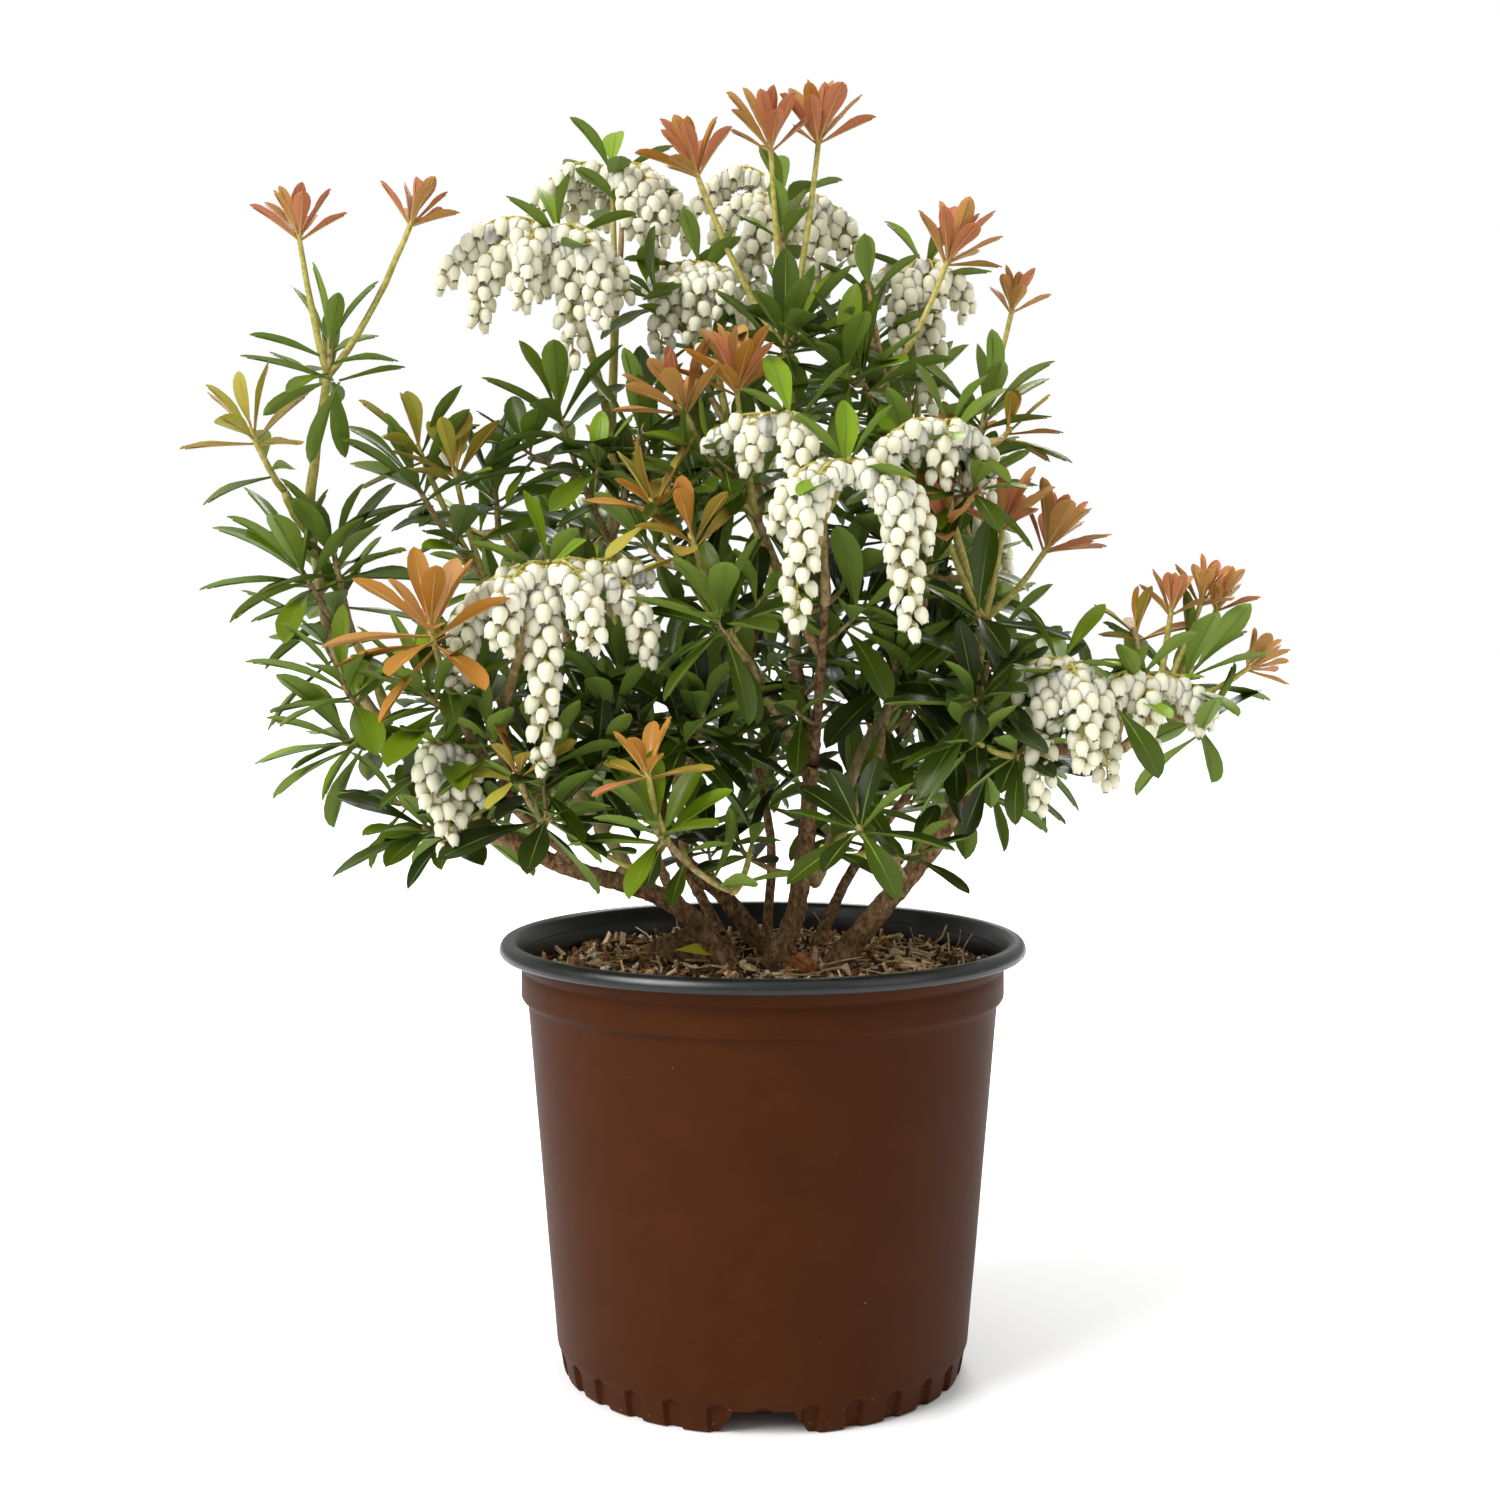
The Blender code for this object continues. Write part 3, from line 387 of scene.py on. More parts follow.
def cutChannel(wall, index):
    # a wedge under the floor that opens as a drain notch in the foot of the wall
    topHalf, footHalf = potWall["channelTopWidth"] / 2, potWall["channelFootWidth"] / 2
    halves = ((footHalf * 1.03, -1.0), (topHalf, potWall["channelHeight"]))  # it starts 1 mm under the foot
    corners = [(side * half, y, z) for y in (-potWall["channelStart"], -potWall["channelEnd"])
               for half, z in halves for side in (-1, 1)]
    mesh = bpy.data.meshes.new("channelCutter")
    mesh.from_pydata([tuple(metresPerMm * c for c in corner) for corner in corners], [], boxFaces)
    shell = bmesh.new()
    shell.from_mesh(mesh)
    bmesh.ops.recalc_face_normals(shell, faces=shell.faces)
    shell.to_mesh(mesh)
    shell.free()
    cutter = addObject("channelCutter", mesh)
    cutter.rotation_euler.z = math.tau * index / potWall["channels"]
    modifier = wall.modifiers.new("channel", "BOOLEAN")
    modifier.operation = "DIFFERENCE"
    modifier.solver = "EXACT"
    modifier.object = cutter
    bpy.context.view_layer.update()
    cut = bpy.data.meshes.new_from_object(wall.evaluated_get(bpy.context.evaluated_depsgraph_get()))
    wall.modifiers.clear()
    wall.data = cut
    bpy.data.objects.remove(cutter, do_unlink=True)


potRim = {
    "sides": 232,
    "profile": ((101.3, 165.0), (103.0, 180.7), (108.0, 180.7), (110.6, 180.75), (111.6, 181.0),
                (112.2, 181.6), (112.5, 182.4), (112.45, 183.4), (112.15, 184.5), (111.6, 185.6),
                (110.9, 186.4), (110.0, 186.9), (108.9, 187.1), (107.6, 187.05), (106.5, 186.7),
                (105.6, 186.1), (104.9, 185.0), (104.2, 183.4), (103.2, 181.0), (102.2, 178.0),
                (101.9, 175.0), (100.2, 165.0)),
}


def makePotRim():
    sides, profile = potRim["sides"], potRim["profile"]
    angles = np.arange(sides) / sides * math.tau
    # the profile is a closed loop, so its last ring joins its first
    faces = [[i % (len(profile) * sides) for i in face] for face in ringFaces(len(profile) + 1, sides)]
    store = MeshStore()
    store.add(np.vstack([ringPoints(radius, angles, height) for radius, height in profile]), faces)
    store.build("potRim", polishedBlackPlastic(), "black_plastic", ("pot_rim",), 40)


potSoil = {
    "rings": 60,
    "sides": 180,
    "edgeRadius": 100.9,
    "middleHeight": 175.6,
    "edgeHeight": 173.0,
    "underside": 150.0,
    "relief": 4.2,
    "lumpSize": 11.0,
    "levelRadius": 98.0,  # where the surface has fallen to the edge's height
    "calmRadius": 60.0,  # the lumps are lower inside this
    "calmShare": 0.35,
    "skirtRadius": 97.0,
}


def soilHeight(x, y):
    out = math.hypot(x, y)
    fall = (potSoil["edgeHeight"] - potSoil["middleHeight"]) * min(1.0, (out / potSoil["levelRadius"]) ** 2)
    lumps = noise.fractal(Vector((x, y, 5.0)) / potSoil["lumpSize"], 1.0, 2.0, 4)
    strength = min(1.0, potSoil["calmShare"] + out / potSoil["calmRadius"])
    return potSoil["middleHeight"] + fall + potSoil["relief"] * lumps * strength


def aboveSoil(x, y, lift):
    return Vector((x, y, soilHeight(x, y) + lift))


def makeSoil():
    sides, rings = potSoil["sides"], potSoil["rings"]
    turns = [math.tau * side / sides for side in range(sides)]
    points = [(0.0, 0.0, soilHeight(0.0, 0.0))]
    for ring in range(1, rings + 1):
        radius = potSoil["edgeRadius"] * ring / rings
        for turn in turns:
            x, y = radius * math.cos(turn), radius * math.sin(turn)
            points.append((x, y, soilHeight(x, y)))
    skirt = potSoil["skirtRadius"]
    points += [(skirt * math.cos(turn), skirt * math.sin(turn), potSoil["underside"]) for turn in turns]
    faces = [(0, 1 + side, 1 + (side + 1) % sides) for side in range(sides)]
    faces += [(1 + a, 1 + d, 1 + c, 1 + b) for a, b, c, d in ringFaces(rings + 1, sides)]
    faces.append(tuple(1 + rings * sides + i for i in reversed(range(sides))))
    store = MeshStore()
    store.add(points, faces)
    # the potting mix's finish has shade painted into the hollows of its bump
    store.build("pottingMix", finish("compostPaintedShade"), "potting_bark", ("soil",))


barkChips = {
    "count": 2000,
    "length": (2.5, 17.0),
    "width": (0.8, 4.4),
    "thickness": (0.5, 2.2),
    "reach": 99.0,
    "tilt": 0.62,
    "colours": {
        "chipsDark": ("#1d120a", "#4a3322", "#8a6c50"),
        "chipsBrown": ("#5c3820", "#a6764c", "#d6ac80"),
        "chipsTan": ("#a8805a", "#e0c098", "#fbeed2"),
    },
    "shares": (0.4, 0.26, 0.34),
}
looseSticks = {
    "count": 460,
    "length": (7.0, 30.0),
    "radius": (0.25, 0.75),
    "reach": 92.0,
    "wall": 98.0,
    "lift": (-0.06, 0.22),
    "standing": 22,  # the first ones lean on the lip
    "standingReach": (84.0, 92.0),
    "standingLength": (9.0, 15.0),
    "standingLift": (1.2, 3.0),
}
perlite = {"count": 150, "radius": (0.6, 1.6), "reach": 96.0}
fallenLeaf = {"place": (-37.0, -24.0), "length": 18.0, "width": 6.4, "lift": 9.0}
redFlake = {"place": (16.0, -36.0), "length": 13.0, "width": 8.0, "thickness": 6.5, "layers": 5,
            "lift": 4.0}


def chipPoints(rng, length, width, thickness):
    # a torn splinter: an eight-cornered block with every corner knocked about
    points = []
    for x in (-0.5, 0.5):
        taper = rng.uniform(0.35, 1.0)
        for y in (-0.5, 0.5):
            for z in (-0.5, 0.5):
                points.append(Vector((x * length * rng.uniform(0.75, 1.0),
                                      y * width * taper * rng.uniform(0.7, 1.15),
                                      z * thickness * rng.uniform(0.5, 1.2))))
    return points


def onSoil(rng, reach):
    angle, out = rng.uniform(0, math.tau), reach * math.sqrt(rng.uniform(0.0, 1.0))
    return out * math.cos(angle), out * math.sin(angle)


def makeChips():
    rng = random.Random(seeds["chips"])
    stores = {name: MeshStore() for name in barkChips["colours"]}
    names = list(stores)
    limit = barkChips["reach"]
    for _ in range(barkChips["count"]):
        x, y = onSoil(rng, limit)
        size = rng.uniform(0, 1) ** 2
        length, width, thickness = (low + (high - low) * size * rng.uniform(0.6, 1.0) for low, high in
                                    (barkChips["length"], barkChips["width"], barkChips["thickness"]))
        tilt = Matrix.Rotation(rng.uniform(0, math.tau), 3, "Z")
        for axis in "YX":
            tilt = tilt @ Matrix.Rotation(rng.gauss(0, barkChips["tilt"]), 3, axis)
        reach = math.hypot(x, y) + length / 2
        if reach > limit:
            x, y = x * limit / reach, y * limit / reach
        centre = aboveSoil(x, y, thickness * rng.uniform(0.1, 0.7))
        points = [centre + tilt @ corner for corner in chipPoints(rng, length, width, thickness)]
        stores[rng.choices(names, barkChips["shares"])[0]].add(points, boxFaces)
    for name, store in stores.items():
        store.build(name, woodScrap(name + "Wood", *barkChips["colours"][name]), "potting_bark", (), 35)


def makeSticks(rng):
    store = MeshStore()
    for index in range(looseSticks["count"]):
        x, y = onSoil(rng, looseSticks["reach"])
        length = rng.uniform(*looseSticks["length"]) * rng.uniform(0.5, 1.0)
        lift = rng.uniform(*looseSticks["lift"])
        if index < looseSticks["standing"]:
            x, y = heading(rng.uniform(0, 360)).xy * rng.uniform(*looseSticks["standingReach"])
            length = rng.uniform(*looseSticks["standingLength"])
            lift = rng.uniform(*looseSticks["standingLift"])
        direction = (heading(rng.uniform(0, 360)) + up * lift).normalized()
        start = aboveSoil(x, y, 0.4)
        end = start + direction * length
        if math.hypot(end.x, end.y) > looseSticks["wall"]:
            end = start - Vector((direction.x, direction.y, -direction.z)) * length
        middle = start.lerp(end, 0.5) + jitter(rng, 1.6)
        thick = rng.uniform(*looseSticks["radius"])
        addTube(store, [start, middle, end], [thick, thick * 0.9, thick * 0.6], 5)
    store.build("looseSticks", woodScrap("paleWood", "#84694a", "#c2a67c", "#ecdab6"), "potting_bark")


def makePerlite(rng):
    store = MeshStore()
    for _ in range(perlite["count"]):
        x, y = onSoil(rng, perlite["reach"])
        radius = rng.uniform(*perlite["radius"])
        centre = aboveSoil(x, y, radius * 0.5)
        lump = []
        for z in (-0.85, 0.0, 0.85):
            for side in range(6):
                out = heading(60 * side + 30 * z) * math.sqrt(1 - z * z) + up * z
                lump.append(centre + out * radius * rng.uniform(0.75, 1.15))
        store.add(lump, tubeFaces(3, 6))
    store.build("perlite", newMaterial("perliteFoam", "#dcd6c8", 0.95)[0], "potting_bark")


def makeRedFlake(rng):
    # flakes that lie on one another, as they split from the block
    store, thickness = MeshStore(), redFlake["thickness"]
    centre = aboveSoil(*redFlake["place"], redFlake["lift"])
    turned = Matrix.Rotation(-0.35, 3, "Z") @ Matrix.Rotation(0.5, 3, "X") @ Matrix.Rotation(0.35, 3, "Y")
    for index in range(redFlake["layers"]):
        block = chipPoints(rng, redFlake["length"] * (1.0 - 0.1 * index), redFlake["width"], thickness / 2.5)
        shift = Vector((rng.uniform(-1.6, 1.6), rng.uniform(-1.2, 1.2), thickness * (index / 4 - 0.6)))
        turn = Matrix.Rotation(rng.uniform(-0.5, 0.5), 3, "Z")
        store.add([centre + turned @ (shift + turn @ corner) for corner in block], boxFaces)
    bark = woodScrap("redInnerBark", "#6a3a22", "#a0623a", "#c88f62")
    store.build("redFlake", bark, "potting_bark", (), 50)


def makeFallenLeaf():
    root = aboveSoil(*fallenLeaf["place"], fallenLeaf["lift"])
    blade = makeBlades([(root, heading(12), (up + heading(-80) * 0.9).normalized(), fallenLeaf["length"],
                         fallenLeaf["width"], 0.16, 0.3, 0.0)])
    store = MeshStore()
    store.addMany(blade["top"], bladeFaces["top"])
    store.build("fallenLeaf", leafSkin("yellowedLeaf", "#b9b43c", 0.6), "young_leaf")


# A stem starts on the potting mix; a bough starts at its parent, at the fraction "along" of it.
limbs = {
    "stem_left": (None, 0, (5.6, 3.4),
        ((-15, -17, 178), (-40, -20, 205), (-86, -36, 223), (-126, -50, 247))),
    "stem_mid_left": (None, 0, (5.2, 3.0), ((1, 14, 178), (-17, 11, 203), (-38, 9, 226), (-60, 12, 300))),
    "stem_centre": (None, 0, (5.8, 3.0), ((5, -12, 178), (15, -9, 203), (20, -8, 258), (14, -8, 305))),
    "stem_right": (None, 0, (6.4, 4.3), ((31, -17, 178), (48, -22, 200), (72, -28, 231), (88, -30, 260))),
    "stem_back_left": (None, 0, (5.4, 3.0),
        ((-16, 32, 178), (-38, 62, 214), (-72, 92, 262), (-92, 104, 310))),
    "stem_back_right": (None, 0, (5.4, 3.0), ((24, 30, 178), (44, 62, 212), (84, 88, 262), (108, 96, 312))),
    "stem_back": (None, 0, (5.0, 2.9), ((2, 46, 178), (4, 62, 222), (-6, 76, 280), (0, 80, 340))),
    "bough_left_rise": ("stem_left", 1, (3.2, 1.9), ((-152, -56, 280), (-174, -52, 315), (-184, -43, 368))),
    "bough_left_fan": ("stem_left", 0.48, (3.0, 2.0), ((-84, -18, 262), (-98, -8, 310), (-106, 4, 352))),
    "bough_left_front": ("stem_left", 0.66, (2.8, 2.1), ((-102, -66, 254), (-100, -84, 292))),
    "bough_crown_left": ("stem_mid_left", 1, (2.9, 2.1), ((-66, 15, 335), (-62, 12, 392))),
    "bough_crown_centre": ("stem_centre", 1, (2.9, 2.1), ((12, -6, 345), (14, -4, 392))),
    "bough_crown_right": ("stem_centre", 0.42, (3.1, 2.1), ((42, 6, 264), (62, 12, 300), (74, 14, 352))),
    "bough_front": ("stem_centre", 0.62, (2.9, 2.1), ((22, -40, 282), (24, -72, 330))),
    "bough_front_low": ("stem_left", 0.22, (3.0, 2.0), ((-38, -50, 214), (-42, -84, 232))),
    "bough_right_low": ("stem_right", 1, (3.8, 2.3), ((104, -40, 268), (126, -49, 271), (146, -51, 271))),
    "bough_right_rise": ("stem_right", 0.86, (3.0, 2.1), ((88, -14, 275), (88, -16, 330))),
}
limbShape = {
    "sides": 18,
    "ringStep": 1.5,
    "girth": 0.8,
    "slender": {"stem_back_left": 0.6, "stem_back_right": 0.6, "stem_back": 0.55},
    "flare": (0.2, 7.0),  # how much wider a stem is at its foot, and how far up that reaches
    "collar": (0.35, 3.0),  # the same where a bough leaves its parent
    "ground": 178.0,
    "buried": 7.0,
    "ridges": 0.55,  # depth of the bark's relief
    "ridgeSize": (2.2, 2.2, 7.0),
    "crackSize": (1.5, 1.5, 4.0),
    "knots": 1.2,  # old leaf scars that stand out
    "knotSize": 6.5,
    "knotsAbove": 0.28,  # a higher number leaves fewer
    "reliefRadius": 4.5,  # thinner wood has less relief
    "gap": 0.3,
    "twigGap": 0.5,
    "pale": ("bough_left_rise", "bough_left_fan", "bough_crown_left", "bough_crown_centre",
             "bough_crown_right", "bough_right_rise"),
}


def smoothPath(points, samples):
    ends = [2 * points[0] - points[1], *points, 2 * points[-1] - points[-2]]
    path = []
    for before, start, end, after in zip(ends, ends[1:], ends[2:], ends[3:]):
        for index in range(samples):
            t = index / samples
            bend = (2 * start) + (end - before) * t
            bend += (2 * before - 5 * start + 4 * end - after) * t**2
            bend += (3 * start - before - 3 * end + after) * t**3
            path.append(bend / 2)
    return path + [points[-1]]


def arcPath(start, corner, end, samples):
    return [start * (1 - t) ** 2 + corner * (2 * t * (1 - t)) + end * t**2
            for t in (index / samples for index in range(samples + 1))]


def lengthsAlong(path):
    lengths = [0.0]
    for here, there in zip(path, path[1:]):
        lengths.append(lengths[-1] + (there - here).length)
    return lengths


def tapered(path, start, end):
    lengths = lengthsAlong(path)
    return [start + (end - start) * length / lengths[-1] for length in lengths]


def pointOn(path, share):
    # the point and direction at a share of the path's steps
    place = share * (len(path) - 1)
    index = min(int(place), len(path) - 2)
    return path[index].lerp(path[index + 1], place - index), (path[index + 1] - path[index]).normalized()


def addTube(store, path, radii, sides, relief=None):
    # a closed tapering tube; relief moves a point in or out
    points = []
    last = len(path) - 1
    across = None
    for index, (centre, radius) in enumerate(zip(path, radii)):
        tangent = (path[min(index + 1, last)] - path[max(index - 1, 0)]).normalized()
        if across is None:
            across = crossSection(tangent)[0]
        across = (across - across.dot(tangent) * tangent).normalized()
        beside = tangent.cross(across)
        for side in range(sides):
            angle = math.tau * side / sides
            out = math.cos(angle) * across + math.sin(angle) * beside
            grown = radius + (relief(centre, out, radius) if relief else 0.0)
            points.append(centre + out * grown)
    store.add(points, tubeFaces(last + 1, sides))


def barkRelief(centre, out, radius):
    # long ridges and cracks in the bark, with an old leaf scar here and there
    place = centre + out * radius
    ridge, crack = (noise.noise(Vector([c / size for c, size in zip(place, limbShape[key])]) + shift)
                    for key, shift in (("ridgeSize", Vector()), ("crackSize", Vector((7.0, 3.0, 1.0)))))
    knot = max(0.0, noise.noise(place / limbShape["knotSize"]) - limbShape["knotsAbove"])
    strength = limbShape["ridges"] * min(1.0, radius / limbShape["reliefRadius"])
    return strength * (ridge + 0.5 - 1.9 * abs(crack)) + limbShape["knots"] * knot


class Limb:
    # a limb's path and radii, so that others can start from it

    def __init__(self, path, radii):
        self.path = path
        self.radii = radii

    def at(self, along):
        point, direction = pointOn(self.path, along)
        place = along * (len(self.radii) - 1)
        index = min(int(place), len(self.radii) - 2)
        share = place - index
        return point, direction, self.radii[index] * (1 - share) + self.radii[index + 1] * share

    def startTowards(self, along, target, gap):
        point, direction, radius = self.at(along)
        if along == 1:
            return point + direction * gap, direction
        out = target - point
        out = (out - out.dot(direction) * direction).normalized()
        return point + out * (radius + gap), out


def growLimbs():
    grown = {}
    stores = {"stems": MeshStore(), "boughs": MeshStore(), "paleBoughs": MeshStore()}
    held = {kind: [] for kind in stores}
    for name, (parent, along, (start, end), rows) in limbs.items():
        points = [Vector(row) for row in rows]
        if parent:
            foot, out = grown[parent].startTowards(along, points[0], limbShape["gap"])
            points = [foot, foot + out * 4.0, *points]
        coarse = smoothPath(points, 8)
        grown[name] = Limb(coarse, tapered(coarse, start, end))
        length = lengthsAlong(coarse)[-1]
        fine = smoothPath(points, max(4, round(length / (len(points) - 1) / limbShape["ringStep"])))
        girth = limbShape["girth"] * limbShape["slender"].get(name, 1.0)
        radii = [radius * girth for radius in tapered(fine, start, end)]
        if parent:
            # sunk into the parent, so that bark runs on from one to the other
            sink = 0.8 * grown[parent].at(along)[2] if along < 1 else 1.5
            fine[0] = fine[0] - out * sink
            flare, reach = limbShape["collar"]
            heights = [(centre - foot).length for centre in fine]
        else:
            fine[0] = fine[0] - up * limbShape["buried"]
            flare, reach = limbShape["flare"]
            heights = [max(0.0, centre.z - limbShape["ground"]) for centre in fine]
        radii = [radius * (1 + flare * math.exp(-height / reach)) for radius, height in zip(radii, heights)]
        kind = ("paleBoughs" if name in limbShape["pale"] else "boughs") if parent else "stems"
        held[kind].append(name)
        addTube(stores[kind], fine, radii, limbShape["sides"], barkRelief)
    bark = finish("fissuredBark")
    for kind, store in stores.items():
        store.build(kind, finish("youngBark") if kind == "paleBoughs" else bark, "stem_bark", held[kind])
    return grown


rootBurl = {"centre": (-30.0, 6.0, 176.0), "size": (19.0, 13.0, 13.5), "rings": 22, "sides": 44,
            "swell": 0.22, "crack": 0.2}


def makeBurl():
    # the old woody foot beside the stems, with its grain drawn out and cracked
    centre = Vector(rootBurl["centre"])
    length, width, height = rootBurl["size"]
    sides, rings = rootBurl["sides"], rootBurl["rings"]
    points = []
    for ring in range(rings):
        rise = math.pi / 2 * ring / (rings - 1) * 0.985
        for side in range(sides):
            out = heading(360 * side / sides) * math.cos(rise)
            place = Vector((out.x * length, out.y * width, math.sin(rise) * height))
            crack = abs(noise.noise(Vector((place.x / 3, place.y / 3, place.z / 9))))
            swell = rootBurl["swell"] * noise.noise(place / 9.0)
            points.append(centre + place * (1 + swell - rootBurl["crack"] * crack))
    store = MeshStore()
    store.add(points, tubeFaces(rings, sides))
    store.build("rootBurl", finish("fissuredBark"), "stem_bark", ("root_burl",))


bladeShape = {
    "stations": (0.0, 0.06, 0.16, 0.3, 0.45, 0.6, 0.74, 0.86, 0.95, 1.0),
    "ribStations": (0.0, 0.16, 0.36, 0.56, 0.76, 0.93),
    "columns": (-1.0, -0.52, 0.0, 0.52, 1.0),
    "thickness": 0.4,
    "ribWidth": 0.36,
    "ripple": 0.3,
    "outline": (1.7, 0.68),  # a higher first number widens the far end, a lower second one blunts the tip
    "youngOutline": (2.0, 0.6),
}


def bladeHalf(t, outline):
    # a narrow stalk, widest past the middle, and a blunt point
    body = np.sin(np.pi * np.clip(t, 0.0, 1.0) ** outline[0]) ** outline[1]
    return np.maximum(body, 0.08 * (1 - t) + 0.01)


def makeGrid(rows, columns):
    return [(r * columns + c, r * columns + c + 1, (r + 1) * columns + c + 1, (r + 1) * columns + c)
            for r in range(rows - 1) for c in range(columns - 1)]


bladeFaces = {
    "top": makeGrid(len(bladeShape["stations"]), len(bladeShape["columns"])),
    "under": [face[::-1] for face in makeGrid(len(bladeShape["stations"]), len(bladeShape["columns"]))],
    "rib": makeGrid(len(bladeShape["ribStations"]), 3),
}


def makeBlades(rows, outline=bladeShape["outline"]):
    # rows: root, direction, the side that faces up, length, width, droop, fold, twist
    root = np.array([tuple(row[0]) for row in rows])
    along = np.array([tuple(row[1]) for row in rows])
    face = np.array([tuple(row[2]) for row in rows])
    length, width, droop, fold, twist = (np.array([row[i] for row in rows])[:, None] for i in range(3, 8))
    across = np.cross(along, face)
    across /= np.linalg.norm(across, axis=1, keepdims=True)
    normal = np.cross(across, along)

    def surface(stations, sides, lift, spread=None):
        t = np.array(stations)[None]
        rise = length * (0.35 * droop * t - 1.35 * droop * t**2.2)
        centre = root[:, None] + along[:, None] * (length * t)[..., None] + normal[:, None] * rise[..., None]
        slope = length * (0.35 * droop - 1.35 * 2.2 * droop * t**1.2)
        localUp = normal[:, None] - along[:, None] * (slope / length)[..., None]
        localUp /= np.linalg.norm(localUp, axis=2, keepdims=True)
        turn = (twist * t)[..., None]
        sideways = across[:, None] * np.cos(turn) + localUp * np.sin(turn)
        localUp = localUp * np.cos(turn) - across[:, None] * np.sin(turn)
        half = width / 2 * bladeHalf(t, outline)
        if spread is not None:
            half = np.broadcast_to(spread, half.shape)
        blocks = []
        for side in sides:
            wave = bladeShape["ripple"] * np.sin(9.0 * t + 2.0 * side) * abs(side) * bladeHalf(t, outline)
            height = fold * abs(side) * half + wave + lift(abs(side), t)
            blocks.append(centre + sideways * (side * half)[..., None] + localUp * height[..., None])
        return np.stack(blocks, 2).reshape(len(rows), -1, 3)

    thick, columns = bladeShape["thickness"], bladeShape["columns"]
    ribs = np.array(bladeShape["ribStations"])[None]
    ribHalf = bladeShape["ribWidth"] * (1.25 - ribs)
    return {
        "top": surface(bladeShape["stations"], columns, lambda s, t: 0.0 * t),
        "under": surface(bladeShape["stations"], columns, lambda s, t: -thick * (1 - s**3) + 0.0 * t),
        "rib": surface(bladeShape["ribStations"], (-1.0, 0.0, 1.0),
                       lambda s, t: 0.02 + 0.2 * (1 - s) + 0.0 * t, ribHalf),
        "underRib": surface(bladeShape["ribStations"], (1.0, 0.0, -1.0),
                            lambda s, t: -thick - 0.02 - 0.4 * (1 - s) + 0.0 * t, ribHalf * 1.2),
    }


# How each kind of shoot ends: leaves, length, width, the angles off the shoot of the newest and the
# oldest leaf, how far down the oldest sits, droop, fold and the tints it is dealt.
whorls = {
    "green": (11, 41.0, 12.4, 14.0, 94.0, 13.0, 0.10, 0.30, ()),
    "small": (8, 31.0, 10.4, 20.0, 96.0, 8.0, 0.10, 0.30, ()),
    "slim": (6, 40.0, 11.0, 30.0, 100.0, 12.0, 0.10, 0.30, ()),
    "star": (10, 34.0, 11.2, 56.0, 94.0, 4.0, 0.10, 0.30, ("inkGreen",)),
    "hang": (4, 28.0, 8.6, 96.0, 150.0, 6.0, 0.06, 0.30, ("inkGreen", "deepGreen")),
    "fresh": (9, 38.0, 12.4, 14.0, 86.0, 11.0, 0.08, 0.30, ("midGreen",)),
    "bronze": (14, 27.0, 8.2, 8.0, 60.0, 4.5, 0.04, 0.36, ("bronze", "salmon")),
    "spire": (14, 25.0, 6.8, 6.0, 60.0, 4.5, 0.04, 0.36, ("bronze", "salmon")),
    "olive": (8, 32.0, 10.0, 16.0, 80.0, 7.0, 0.06, 0.30, ("olive",)),
    "tawny": (8, 30.0, 9.6, 16.0, 84.0, 7.0, 0.06, 0.30, ("oliveBronze",)),
    "fan": (9, 18.5, 6.2, 8.0, 54.0, 3.5, 0.04, 0.36, ("bronze", "salmon")),
    "crest": (11, 21.5, 7.4, 6.0, 56.0, 4.0, 0.04, 0.36, ("bronze", "salmon")),
    "narrow": (9, 35.0, 8.6, 16.0, 92.0, 16.0, 0.10, 0.30, ("deepGreen", "midGreen")),
    "oliveTip": (6, 24.0, 7.4, 16.0, 82.0, 5.0, 0.06, 0.30, ("oliveBronze",)),
    "copper": (16, 40.0, 11.4, 18.0, 112.0, 10.0, 0.08, 0.30, ("copper",)),
    "copperTip": (8, 25.0, 8.0, 12.0, 84.0, 4.0, 0.06, 0.30, ("copper", "bronze")),
    "sprout": (5, 25.0, 10.5, 10.0, 80.0, 5.0, 0.06, 0.30, ("freshGreen", "midGreen")),
    "lone": (3, 34.0, 12.5, 60.0, 110.0, 4.0, 0.10, 0.30, ("freshGreen", "midGreen")),
    "bloom": (6, 34.0, 11.5, 34.0, 88.0, 10.0, 0.08, 0.30, ("midGreen", "freshGreen")),
}
leafTints = {
    "inkGreen": ("#29350b", 0.36, 0.12),
    "deepGreen": ("#3d4d0c", 0.36, 0.12),
    "midGreen": ("#5d710e", 0.38, 0.1),
    "freshGreen": ("#769412", 0.42, 0.05),
    "olive": ("#9e9838", 0.48, 0.0),
    "oliveBronze": ("#94802e", 0.48, 0.0),
    "bronze": ("#ae7f46", 0.48, 0.0),
    "salmon": ("#b46e4c", 0.48, 0.0),
    "copper": ("#a8732c", 0.48, 0.0),
}
# a few leaves of a spray take the next tint of their own
strayTints = {
    "inkGreen": ("deepGreen",),
    "deepGreen": ("inkGreen", "midGreen"),
    "midGreen": ("deepGreen", "freshGreen"),
    "freshGreen": ("midGreen",),
    "olive": ("oliveBronze", "midGreen"),
    "oliveBronze": ("olive", "copper"),
    "bronze": ("salmon", "copper"),
    "salmon": ("bronze",),
    "copper": ("oliveBronze", "salmon", "bronze"),
}
strayShare = {"green": 0.24, "young": 0.42}
shadeTints = ("inkGreen", "deepGreen", "midGreen")  # painted shade: darker greens for leaves near the crown's heart, lighter ones towards its lit edge
# the painted shade's centre, and the distances from it in mm within which the tint is darkest and beyond
# which it is lightest
shade = {"heart": (10.0, 10.0, 240.0), "dark": 85.0, "light": 235.0}
crownFloor = 210.0  # no leaf hangs lower
# how closely leaves may crowd each other and the wood
leafRoom = {"cell": 3.2, "shared": 2, "fromWood": 1.6}
youngTints = ("olive", "oliveBronze", "bronze", "salmon", "copper")


